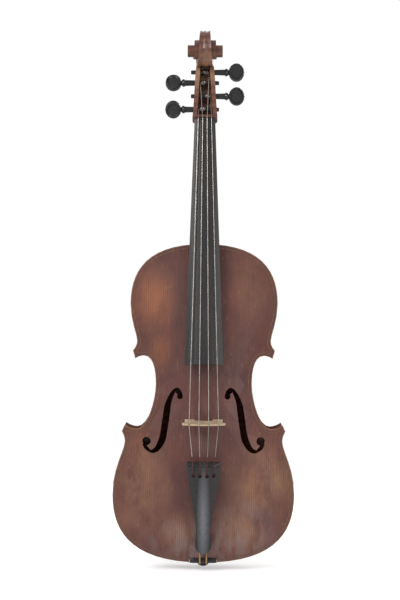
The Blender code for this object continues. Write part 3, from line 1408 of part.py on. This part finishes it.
def build():
    for obj in list(bpy.data.objects):
        bpy.data.objects.remove(obj, do_unlink=True)
    spruce = finish("varnished spruce", "#7a4c3c", 0.35)
    maple = finish("varnished maple", "#704334", 0.33)
    inner_wood = finish("bare spruce and willow", "#b08d62", 0.7)
    ebony = finish("ebony", "#22201f", 0.32)
    bridge_maple = finish("bridge maple", "#bfa588", 0.55)
    metal = finish("wound string", "#b9b6b2", 0.28, 1.0)
    gut = finish("tailgut", "#b08b56", 0.5)
    hanger = (0, HANGER_DEPTH, SCROLL_Z - HANGER_BELOW_EYES)
    empty("viola_frame", tuple(-c for c in hanger))
    neck_frame = empty(
        "neck_frame", (0, GLUE_AT_BODY, BODY_LENGTH), (-NECK_ANGLE, 0, 0), bpy.data.objects["viola_frame"]
    )
    belly, _ = make_plates(spruce, maple)
    ribs = make_ribs(maple)
    make_linings(inner_wood)
    blocks = make_blocks(inner_wood)
    make_bass_bar(inner_wood)
    make_sound_post(inner_wood)
    make_neck(maple)
    make_heel_socket(maple, [belly, ribs["upper_rib_bass"], ribs["upper_rib_treble"], blocks["top_block"]])
    make_fingerboard(ebony, neck_frame)
    make_nut(ebony, neck_frame)
    pegs = make_pegs(ebony)
    make_windings(pegs, metal, ebony)
    make_bridge(bridge_maple)
    make_tailpiece(ebony)
    make_strings(metal)
    make_saddle(ebony, belly)
    make_tailgut(gut)
    make_end_button(ebony, [ribs["lower_rib_bass"], ribs["lower_rib_treble"], blocks["bottom_block"]])


build()
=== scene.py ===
"""Viola: the finish of each piece, with the purfling that the plates have inlaid.

All sizes are in metres. +Z runs up the body to the scroll, and the strings face -Y.
"""
from math import pi, radians

import bmesh
import bpy
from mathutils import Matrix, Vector
from mathutils.bvhtree import BVHTree
from mathutils.kdtree import KDTree


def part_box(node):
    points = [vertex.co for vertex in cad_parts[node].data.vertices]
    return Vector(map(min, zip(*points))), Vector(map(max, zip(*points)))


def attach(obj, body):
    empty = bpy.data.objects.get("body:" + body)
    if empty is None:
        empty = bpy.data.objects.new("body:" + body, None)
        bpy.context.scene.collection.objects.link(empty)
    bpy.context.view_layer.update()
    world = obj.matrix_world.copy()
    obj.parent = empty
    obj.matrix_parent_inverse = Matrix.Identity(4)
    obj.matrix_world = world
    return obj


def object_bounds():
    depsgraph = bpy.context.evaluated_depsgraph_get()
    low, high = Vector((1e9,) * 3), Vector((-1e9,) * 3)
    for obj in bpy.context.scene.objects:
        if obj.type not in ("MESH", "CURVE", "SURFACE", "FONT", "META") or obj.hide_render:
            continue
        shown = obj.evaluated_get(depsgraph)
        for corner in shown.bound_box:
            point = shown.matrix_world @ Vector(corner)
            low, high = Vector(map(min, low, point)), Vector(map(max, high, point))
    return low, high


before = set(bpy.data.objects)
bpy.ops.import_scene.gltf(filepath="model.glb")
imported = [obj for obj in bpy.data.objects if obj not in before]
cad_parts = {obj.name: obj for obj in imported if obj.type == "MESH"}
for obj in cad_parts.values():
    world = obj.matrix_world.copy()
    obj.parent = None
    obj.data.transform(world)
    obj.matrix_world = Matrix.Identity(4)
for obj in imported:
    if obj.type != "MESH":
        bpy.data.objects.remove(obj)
cad_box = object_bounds()
MM = 0.001

# The camera stands where the photographer did: level, on the body's axis but for a few
# millimetres, far enough for a long lens and rolled by a quarter of a degree.
BODY_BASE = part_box("back_plate")[0][2]
RIB_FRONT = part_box("upper_rib_bass")[0][1]
CAMERA_DISTANCE = 1.8
CAMERA_HEIGHT = 0.3346       # above the body's base
CAMERA_ASIDE = -0.0053
CAMERA_ROLL = -0.25          # degrees
LENS_MM = 84.6

camera = bpy.data.objects.new("camera", bpy.data.cameras.new("camera"))
camera.data.lens = LENS_MM
camera.location = (CAMERA_ASIDE, RIB_FRONT - CAMERA_DISTANCE, BODY_BASE + CAMERA_HEIGHT)
camera.rotation_euler = (radians(90), radians(CAMERA_ROLL), 0)
bpy.context.scene.collection.objects.link(camera)
bpy.context.scene.camera = camera
bpy.context.scene.view_settings.view_transform = "Standard"

# Studio light: a large soft key high on the left, a weaker fill on the right and a third from
# behind the viola, all aimed at the middle of the body. Heights are above the body's base.
AIM_HEIGHT = 0.25
LIGHTS = (                   # name, place, size and watts
    ("key_light", (-1.3, -1.5, 1.5), 1.0, 26),
    ("fill_light", (1.5, -1.2, 0.6), 1.2, 8),
    ("rear_light", (0.8, 1.6, 1.2), 1.2, 14),
)
aim = Vector((0, RIB_FRONT, BODY_BASE + AIM_HEIGHT))
for name, (x, y, height), size, watts in LIGHTS:
    lamp = bpy.data.objects.new(name, bpy.data.lights.new(name, "AREA"))
    lamp.data.size = size
    lamp.data.energy = watts
    lamp.location = (x, y, BODY_BASE + height)
    lamp.rotation_euler = (aim - lamp.location).to_track_quat("-Z", "Y").to_euler()
    bpy.context.scene.collection.objects.link(lamp)


def add_node(tree, kind, inputs=None, **settings):
    """Add one shader node; inputs maps a socket's name or number to a value or an output."""
    node = tree.nodes.new(kind)
    for key, value in settings.items():
        setattr(node, key, value)
    for key, value in (inputs or {}).items():
        if isinstance(value, bpy.types.NodeSocket):
            tree.links.new(value, node.inputs[key])
        else:
            node.inputs[key].default_value = value
    return node


def linear(hex_colour):
    """An sRGB hex colour as the linear RGBA that shaders take."""
    channels = [int(hex_colour[i:i + 2], 16) / 255 for i in (1, 3, 5)]
    return (*[c / 12.92 if c <= 0.04045 else ((c + 0.055) / 1.055) ** 2.4 for c in channels], 1)


# The room: white where the camera sees it, straight or through a clear thing, and a plain grey
# level where it lights the wood.
ROOM_LEVEL = 0.55
world = bpy.data.worlds.new("white_room")
bpy.context.scene.world = world
world.use_nodes = True
tree = world.node_tree
tree.nodes.clear()
ray = add_node(tree, "ShaderNodeLightPath")
seen = add_node(tree, "ShaderNodeMath", {
    0: ray.outputs["Is Camera Ray"], 1: ray.outputs["Is Transmission Ray"],
}, operation="MAXIMUM")
level = add_node(tree, "ShaderNodeMapRange", {
    "Value": seen.outputs[0], "To Min": ROOM_LEVEL, "To Max": 1.0,
})
room = add_node(tree, "ShaderNodeBackground", {"Color": (1, 1, 1, 1), "Strength": level.outputs[0]})
add_node(tree, "ShaderNodeOutputWorld", {"Surface": room.outputs[0]})

# The floor: a pale board just under the end button. A glow that only the camera sees makes it
# white, and it keeps the object's shadow.
FLOOR_SIZE = 1.6
FLOOR_GAP = 0.002
FLOOR_GLOW = 0.45
bpy.ops.mesh.primitive_plane_add(size=FLOOR_SIZE, location=(0, 0, cad_box[0][2] - FLOOR_GAP))
floor = bpy.context.object
floor.name = "floor"
pale = bpy.data.materials.new("pale floor")
pale.use_nodes = True
tree = pale.node_tree
tree.nodes.clear()
ray = add_node(tree, "ShaderNodeLightPath")
matt = add_node(tree, "ShaderNodeBsdfDiffuse", {"Color": linear("#f2f2f2")})
lit = add_node(tree, "ShaderNodeMath", {0: ray.outputs["Is Camera Ray"], 1: FLOOR_GLOW}, operation="MULTIPLY")
glow = add_node(tree, "ShaderNodeEmission", {"Strength": lit.outputs[0]})
both = add_node(tree, "ShaderNodeAddShader", {0: matt.outputs[0], 1: glow.outputs[0]})
add_node(tree, "ShaderNodeOutputMaterial", {"Surface": both.outputs[0]})
floor.data.materials.append(pale)


# Belly: a carved spruce plate, glued to the ribs, under a thin red-brown spirit varnish. Years of
# bowing and handling have rubbed the varnish to brown wood at the bouts and left it dark along
# the strings.
def finish_with(material, *nodes):
    """Give CAD nodes one material."""
    for name in nodes:
        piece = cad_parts[name]
        piece.data.materials.clear()
        piece.data.materials.append(material)


def new_wood(name, roughness, coat):
    """A material, its node tree, its shader and the coordinates that its patterns follow."""
    material = bpy.data.materials.new(name)
    material.use_nodes = True
    shader = material.node_tree.nodes["Principled BSDF"]
    shader.inputs["IOR"].default_value = 1.5
    shader.inputs["Coat Weight"].default_value = coat
    shader.inputs["Coat Roughness"].default_value = 0.18
    shader.inputs["Roughness"].default_value = roughness
    where = add_node(material.node_tree, "ShaderNodeTexCoord").outputs["Object"]
    return material, material.node_tree, shader, where


def wear_and_sheen_places(tree, where, places):
    """How strongly each point is marked, as wear or, on the tailpiece, as painted sheen; a place is (x,
    height, half width, half height, how strong).
    """
    worn = None
    for x, height, half_width, half_height, most in places:
        moved = add_node(tree, "ShaderNodeMapping", {
            "Vector": where, "Location": (-x / half_width, 0, -(BODY_BASE + height) / half_height),
            "Scale": (1 / half_width, 0, 1 / half_height),
        })
        far = add_node(tree, "ShaderNodeVectorMath", {0: moved.outputs[0]}, operation="LENGTH")
        near = add_node(tree, "ShaderNodeMapRange", {
            "Value": far.outputs["Value"], "From Min": 1.0, "From Max": 0.15, "To Max": most,
        })
        if worn:
            near = add_node(tree, "ShaderNodeMath", {0: worn, 1: near.outputs[0]}, operation="MAXIMUM")
        worn = near.outputs[0]
    return worn


def clouded(tree, where, size, low, high, stretch=(1, 1, 1)):
    """Cloudy patches: 0 where the noise is below low, 1 above high; size is that of one cloud."""
    drawn = add_node(tree, "ShaderNodeMapping", {"Vector": where, "Scale": stretch})
    cloud = add_node(tree, "ShaderNodeTexNoise", {
        "Vector": drawn.outputs[0], "Scale": 1 / size, "Detail": 6.0, "Roughness": 0.62,
    })
    return add_node(tree, "ShaderNodeMapRange", {
        "Value": cloud.outputs["Fac"], "From Min": low, "From Max": high,
    }).outputs[0]


def lined(tree, where, spacing, direction, distortion):
    """Parallel lines at a real spacing: 0 to 1 and back over one spacing."""
    return add_node(tree, "ShaderNodeTexWave", {
        "Vector": where, "Scale": 2 * pi / (20 * spacing), "Distortion": distortion,
        "Detail": 2.0, "Detail Scale": 0.05,
    }, wave_type="BANDS", bands_direction=direction).outputs["Fac"]


def laid_over(tree, below, above, share, most=1.0):
    """One colour over another, as far as the product of the two shares says."""
    part = add_node(tree, "ShaderNodeMath", {0: share, 1: most}, operation="MULTIPLY").outputs[0]
    return add_node(tree, "ShaderNodeMix", {0: part, 6: below, 7: above}, data_type="RGBA").outputs[2]


def dress(tree, shader, colour, gloss=None, relief=None):
    """Join a colour, a roughness of (share, low, high) and a relief of (height, depth) to a shader."""
    tree.links.new(colour, shader.inputs["Base Color"])
    if gloss:
        share, low, high = gloss
        rough = add_node(tree, "ShaderNodeMapRange", {"Value": share, "To Min": low, "To Max": high})
        tree.links.new(rough.outputs[0], shader.inputs["Roughness"])
    if relief:
        height, depth = relief
        raised = add_node(tree, "ShaderNodeBump", {"Height": height, "Strength": 1.0, "Distance": depth})
        tree.links.new(raised.outputs[0], shader.inputs["Normal"])


# Spruce grain runs up the plate in lines 1 to 2 mm apart, drawn at 2.4 mm so that it shows.
SPRUCE_GRAIN = 2.4 * MM
RUBBED = (
    (0.072, 0.105, 0.050, 0.065, 1.0), (-0.080, 0.090, 0.045, 0.075, 0.8),
    (0.060, 0.350, 0.034, 0.050, 0.35), (-0.030, 0.040, 0.040, 0.030, 0.5),
    (0.045, 0.045, 0.045, 0.035, 0.6),
)
ORANGE = (
    (-0.064, 0.335, 0.034, 0.055, 1.0), (-0.055, 0.270, 0.018, 0.030, 0.8),
    (-0.085, 0.150, 0.018, 0.060, 0.7),
)
DUSTY = (
    (0.0, 0.025, 0.090, 0.045, 0.8), (0.050, 0.040, 0.050, 0.050, 0.9), (0.0, 0.170, 0.030, 0.050, 0.4),
)
DARK = (
    (0.0, 0.250, 0.052, 0.130, 0.55), (-0.012, 0.300, 0.036, 0.110, 0.6), (0.0, 0.110, 0.050, 0.070, 0.4),
)
EDGE_TURN = (-0.80, -0.45)   # the surface's Y direction where the edge's bare rounding begins and is full
EDGE_BARE = 0.85
spruce, tree, shader, where = new_wood(
    "worn spirit varnish on quarter-sawn spruce", roughness=0.45, coat=0.12,
)
clouds = clouded(tree, where, 50 * MM, 0.36, 0.64, (1, 1, 0.55))
fine_clouds = clouded(tree, where, 12 * MM, 0.40, 0.60, (1, 1, 0.30))
mottled = clouded(tree, where, 35 * MM, 0.3, 0.7)
colour = laid_over(tree, linear("#56302c"), linear("#6a3c34"), mottled)
streaks = clouded(tree, where, 6 * MM, 0.50, 0.72, (1, 1, 0.08))
colour = laid_over(tree, colour, linear("#7d4230"), streaks, 0.45)
for places, share, worn_colour in (
    (DARK, clouds, "#3c2725"), (ORANGE, clouds, "#965a38"), (RUBBED, clouds, "#a97c58"),
    (DUSTY, fine_clouds, "#8b7470"),
):
    colour = laid_over(tree, colour, linear(worn_colour), wear_and_sheen_places(tree, where, places), share)
grain = lined(tree, where, SPRUCE_GRAIN, "X", 1.6)
late_wood = add_node(tree, "ShaderNodeMapRange", {"Value": grain, "From Min": 0.55}).outputs[0]
colour = laid_over(tree, colour, linear("#3d221d"), late_wood, 0.34)
scuffs = clouded(tree, where, 3.5 * MM, 0.60, 0.74, (1, 1, 0.35))
colour = laid_over(tree, colour, linear("#a9806a"), scuffs, 0.30)
scratches = clouded(tree, where, 2.8 * MM, 0.62, 0.70, (1, 1, 0.10))
colour = laid_over(tree, colour, linear("#2f1b18"), scratches, 0.6)
normal = add_node(tree, "ShaderNodeNewGeometry").outputs["Normal"]
bare_edge = add_node(tree, "ShaderNodeMapRange", {
    "Value": add_node(tree, "ShaderNodeSeparateXYZ", {0: normal}).outputs["Y"],
    "From Min": EDGE_TURN[0], "From Max": EDGE_TURN[1], "To Max": EDGE_BARE,
}).outputs[0]
colour = laid_over(tree, colour, linear("#a57a4c"), bare_edge)
dress(tree, shader, colour, gloss=(clouds, 0.36, 0.55), relief=(grain, 0.04 * MM))
finish_with(spruce, "belly")

# Back, ribs and neck: flamed maple under the same varnish, glued to the blocks inside. The flames
# lie across the grain, about 9 mm apart, and the neck's grip is rubbed paler than the rest.
FLAME = 9 * MM
FLAME_TILT = 8               # degrees


def flamed_maple(name, base, light, deep, worn_colour, places):
    """Varnished maple, its flames lying across the height."""
    material, tree, shader, where = new_wood(name, roughness=0.36, coat=0.3)
    tilted = add_node(tree, "ShaderNodeMapping", {"Vector": where, "Rotation": (0, radians(FLAME_TILT), 0)})
    flames = lined(tree, tilted.outputs[0], FLAME, "Z", 5.0)
    colour = laid_over(tree, linear(base), linear(light), flames)
    pores = clouded(tree, where, 2.2 * MM, 0.56, 0.70, (1, 1, 0.18))
    colour = laid_over(tree, colour, linear(deep), pores, 0.4)
    clouds = clouded(tree, where, 45 * MM, 0.36, 0.66)
    colour = laid_over(tree, colour, linear(worn_colour), wear_and_sheen_places(tree, where, places), clouds)
    dress(tree, shader, colour, gloss=(clouds, 0.28, 0.48), relief=(pores, 0.03 * MM))
    return material


back_maple = flamed_maple(
    "worn spirit varnish on flamed maple", "#55302a", "#6d3f33", "#35201c", "#93654a", (
        (0.0, 0.340, 0.060, 0.060, 1.0), (0.055, 0.100, 0.060, 0.090, 1.0),
        (-0.050, 0.080, 0.060, 0.060, 1.0),
    ),
)
finish_with(back_maple, "back_plate", *[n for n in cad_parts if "_rib_" in n])
neck_maple = flamed_maple(
    "oiled and varnished maple of the neck", "#5b3427", "#734433", "#38211b", "#b08a68",
    ((0.0, 0.485, 0.060, 0.090, 0.8), (0.0, 0.625, 0.045, 0.030, 0.9)),
)
finish_with(neck_maple, "neck")

# Purfling: two thin strips of dyed pearwood with a pale one between, let into a channel
# 3.5 mm from each plate's edge. It is drawn as three narrow ribbons laid on the plate.
PURFLING_INSET = 3.5 * MM    # from the plate's outline
STRIP_WIDTH = 0.5 * MM
PROUD = 0.08 * MM            # above the plate, so that the ribbon isn't lost in its surface
STEP = 1.5 * MM              # between the points that follow the plate's surface
EDGE_DEPTH = 4.5 * MM        # the plate's thickness at its edge
ROUNDING_SHARE = 0.30        # of that depth, taken by the rounding of the edge
LEVEL_GAP = 0.05 * MM        # how far a point may lie from the depth that it belongs to
SHORTEST_RUN = 200 * MM      # a chain of the outline is longer than this
BUTTON_HALF = 13 * MM        # half the width left out at the back's button
BUTTON_REACH = 100 * MM      # how far below the top that width is still left out
MITRE_SHARE = 0.98           # of its inset, that a ribbon's point keeps from every edge


def run_length(chain):
    return sum((b - a).length for a, b in zip(chain, chain[1:]))


def rim_chains(node, inside, facing):
    """The corner between the rounding and the side of a plate's edge, as chains of points."""
    work = bmesh.new()
    work.from_mesh(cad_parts[node].data)
    bmesh.ops.remove_doubles(work, verts=work.verts, dist=0.02 * MM)
    depth = inside + facing * EDGE_DEPTH * (1 - ROUNDING_SHARE)
    left = [e for e in work.edges if all(abs(v.co.y - depth) < LEVEL_GAP for v in e.verts)]
    chains = []
    while left:
        chain = list(left.pop().verts)
        for end in (0, 1):
            chain.reverse()
            while step := next((e for e in chain[-1].link_edges if e in left), None):
                left.remove(step)
                chain.append(step.other_vert(chain[-1]))
        chains.append([Vector((v.co.x, v.co.z)) for v in chain])
    work.free()
    return [c for c in chains if run_length(c) > SHORTEST_RUN]


def plate_outline(node, inside, facing):
    """A plate's outline as one loop, straight across the back's button and the belly's cuts."""
    loop, *others = rim_chains(node, inside, facing)
    for chain in others:
        near_start = (chain[0] - loop[-1]).length < (chain[-1] - loop[-1]).length
        loop = loop + (chain if near_start else chain[::-1])
    top = max(p.y for p in loop if abs(p.x) > BUTTON_HALF)
    return [p for p in loop if abs(p.x) > BUTTON_HALF or p.y < top - BUTTON_REACH]


def resampled(line, step):
    """A closed line's points with more between them, about a step apart."""
    points = []
    for here, after in zip(line, line[1:] + line[:1]):
        count = max(1, round((after - here).length / step))
        points += [here.lerp(after, i / count) for i in range(count)]
    return points


def strip_points(loop, near, far):
    """Pairs of points at two insets from the loop; those past a corner's mitre are left out."""
    if sum(a.x * b.y - b.x * a.y for a, b in zip(loop, loop[1:] + loop[:1])) > 0:
        loop = loop[::-1]
    loop = resampled(loop, STEP)
    edge = KDTree(len(loop))
    for i, point in enumerate(loop):
        edge.insert((*point, 0), i)
    edge.balance()
    pairs = []
    for before, here, after in zip(loop[-1:] + loop[:-1], loop, loop[1:] + loop[:1]):
        ahead = (after - before).normalized()
        pair = [here + Vector((ahead.y, -ahead.x)) * inset for inset in (near, far)]
        if all(edge.find((*p, 0))[2] > MITRE_SHARE * inset for p, inset in zip(pair, (near, far))):
            pairs.append(pair)
    return pairs


def ribbon(name, pairs, facing, surface, material):
    """A closed strip through the pairs of points, laid on a plate's surface."""
    verts = []
    for pair in pairs:
        hits = [surface.ray_cast((p.x, facing, p.y), (0, -facing, 0))[0] for p in pair]
        if all(hits):
            verts += [hit + Vector((0, facing * PROUD, 0)) for hit in hits]
    count = len(verts)
    mesh = bpy.data.meshes.new(name)
    mesh.from_pydata(verts, [], [
        (i, (i + 2) % count, (i + 3) % count, i + 1) for i in range(0, count, 2)
    ])
    mesh.materials.append(material)
    strip = bpy.data.objects.new(name, mesh)
    bpy.context.scene.collection.objects.link(strip)
    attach(strip, "instrument")


def strip_wood(name, dark, light):
    """A thin strip's wood: one colour, a little uneven."""
    material, tree, shader, where = new_wood(name, roughness=0.5, coat=0.2)
    dress(tree, shader, laid_over(tree, linear(dark), linear(light), clouded(tree, where, 4 * MM, 0.3, 0.7)))
    return material


dyed = strip_wood("dyed pearwood strip", "#1d1512", "#33231d")
pale_strip = strip_wood("pale poplar strip under varnish", "#8a5f43", "#a47a58")
STRIPS = ((dyed, "ebony"), (pale_strip, "maple_varnish"), (dyed, "ebony"))
for plate, facing in (("belly", -1), ("back_plate", 1)):
    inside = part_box(plate)[1][1] if facing < 0 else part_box(plate)[0][1]
    outline = plate_outline(plate, inside, facing)
    surface = BVHTree.FromObject(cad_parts[plate], bpy.context.evaluated_depsgraph_get())
    for i, (material, slot) in enumerate(STRIPS):
        near = PURFLING_INSET + i * STRIP_WIDTH
        pairs = strip_points(outline, near, near + STRIP_WIDTH)
        ribbon(f"purfling_{plate}_{i + 1}", pairs, facing, surface, material)

# Blocks, linings, bass bar and sound post: bare spruce and willow, split and planed, left without
# varnish and gone yellow-brown with age. All are glued but the post, which is wedged in.
BARE_GRAIN = 1.6 * MM
INSIDE = ("lining", "block", "bass_bar", "sound_post")
bare, tree, shader, where = new_wood("bare planed spruce and willow", roughness=0.75, coat=0.0)
colour = laid_over(tree, linear("#a98459"), linear("#c4a274"), lined(tree, where, BARE_GRAIN, "X", 1.2))
colour = laid_over(tree, colour, linear("#8d6b46"), clouded(tree, where, 20 * MM, 0.45, 0.7))
dress(tree, shader, colour)
finish_with(bare, *[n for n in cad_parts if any(word in n for word in INSIDE)])

# Fingerboard, nut and saddle, which are glued on, tailpiece, pegs and end button: ebony, scraped
# and oiled. It is a brown-black with fine pores along the grain. The grey band down the
# tailpiece's crown is a painted sheen, laid into its colour.
# Where the tailpiece's painted sheen lies, down its crown: (x, height, half width, half height, how strong).
TAILPIECE_PAINTED_SHEEN = ((0.0, 0.055, 0.009, 0.085, 1.0),)
ACROSS, UP = 0, 2            # the axis that a piece's grain follows
PORE_STRETCH = 0.12


def ebony_wood(name, grain_axis, roughness, sheen_colour, painted_sheen_places=()):
    """Ebony with its pores drawn out along one axis, and a painted grey sheen at any places given."""
    material, tree, shader, where = new_wood(name, roughness, coat=0.12)
    stretch = [1, 1, 1]
    stretch[grain_axis] = PORE_STRETCH
    pores = clouded(tree, where, 1.6 * MM, 0.52, 0.72, stretch)
    broad = clouded(tree, where, 18 * MM, 0.3, 0.7, stretch)
    colour = laid_over(tree, linear("#1c1a1a"), linear(sheen_colour), broad)
    colour = laid_over(tree, colour, linear("#100e0e"), pores)
    # Painted sheen: a light blue-grey laid into the colour at these places, standing in for a reflection.
    if painted_sheen_places:
        colour = laid_over(tree, colour, linear("#6c6e74"), wear_and_sheen_places(tree, where, painted_sheen_places))
    dress(tree, shader, colour, gloss=(broad, roughness - 0.06, roughness + 0.1), relief=(pores, 0.02 * MM))
    return material


scraped = ebony_wood("scraped ebony with a grey sheen", UP, 0.42, "#2d2a2a")
finish_with(scraped, "fingerboard", "nut", "saddle")
# The tailpiece's ebony also gets the painted sheen down its crown.
polished = ebony_wood("polished ebony with a painted grey sheen", UP, 0.26, "#262324", TAILPIECE_PAINTED_SHEEN)
finish_with(polished, "tailpiece", "tailpiece_fret", "end_button")
turned = ebony_wood("turned ebony", ACROSS, 0.30, "#2b2829")
finish_with(turned, *[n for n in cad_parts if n.startswith("peg_")])

# Bridge: unvarnished maple cut on the quarter, so that its faces show short brown flecks, and held
# only by the strings' pull. Handling and rosin have left it a warm grey-brown.
bridge_wood, tree, shader, where = new_wood(
    "bare quartered maple with ray flecks", roughness=0.55, coat=0.05,
)
flecks = clouded(tree, where, 1.1 * MM, 0.56, 0.66, (0.35, 1, 1))
colour = laid_over(tree, linear("#b39a7c"), linear("#c9b394"), clouded(tree, where, 8 * MM, 0.3, 0.7))
colour = laid_over(tree, colour, linear("#8a6a4a"), flecks, 0.5)
dress(tree, shader, colour)
finish_with(bridge_wood, "bridge")

# Strings: a gut core wound with flat silver wire, dull with use, from the tailpiece's keyholes to
# the pegs. Dark red silk is lapped round each one from just above the tailpiece down to its knot.
SILK_TOP = BODY_BASE + 140 * MM
wound, tree, shader, where = new_wood("flat-wound silver wire and red silk", roughness=0.38, coat=0.0)
tarnish = clouded(tree, where, 12 * MM, 0.35, 0.7)
silver = laid_over(tree, linear("#b5ada6"), linear("#8c827b"), tarnish)
height = add_node(tree, "ShaderNodeSeparateXYZ", {0: where}).outputs["Z"]
silk = add_node(tree, "ShaderNodeMath", {0: height, 1: SILK_TOP}, operation="LESS_THAN").outputs[0]
dress(tree, shader, laid_over(tree, silver, linear("#5a1f1f"), silk))
metal = add_node(tree, "ShaderNodeMath", {0: 1.0, 1: silk}, operation="SUBTRACT").outputs[0]
tree.links.new(metal, shader.inputs["Metallic"])
finish_with(wound, *[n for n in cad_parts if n.startswith(("string_", "winding_"))])

# Tailgut: one cord of twisted gut, amber and a little glossy. It runs from inside the tailpiece
# over the saddle and round the end button.
TWIST = 1.2 * MM
gut, tree, shader, where = new_wood("twisted gut", roughness=0.4, coat=0.3)
twist = lined(tree, where, TWIST, "DIAGONAL", 0.0)
dress(tree, shader, laid_over(tree, linear("#8c6a3e"), linear("#b8935c"), twist), relief=(twist, 0.08 * MM))
finish_with(gut, "tailgut")
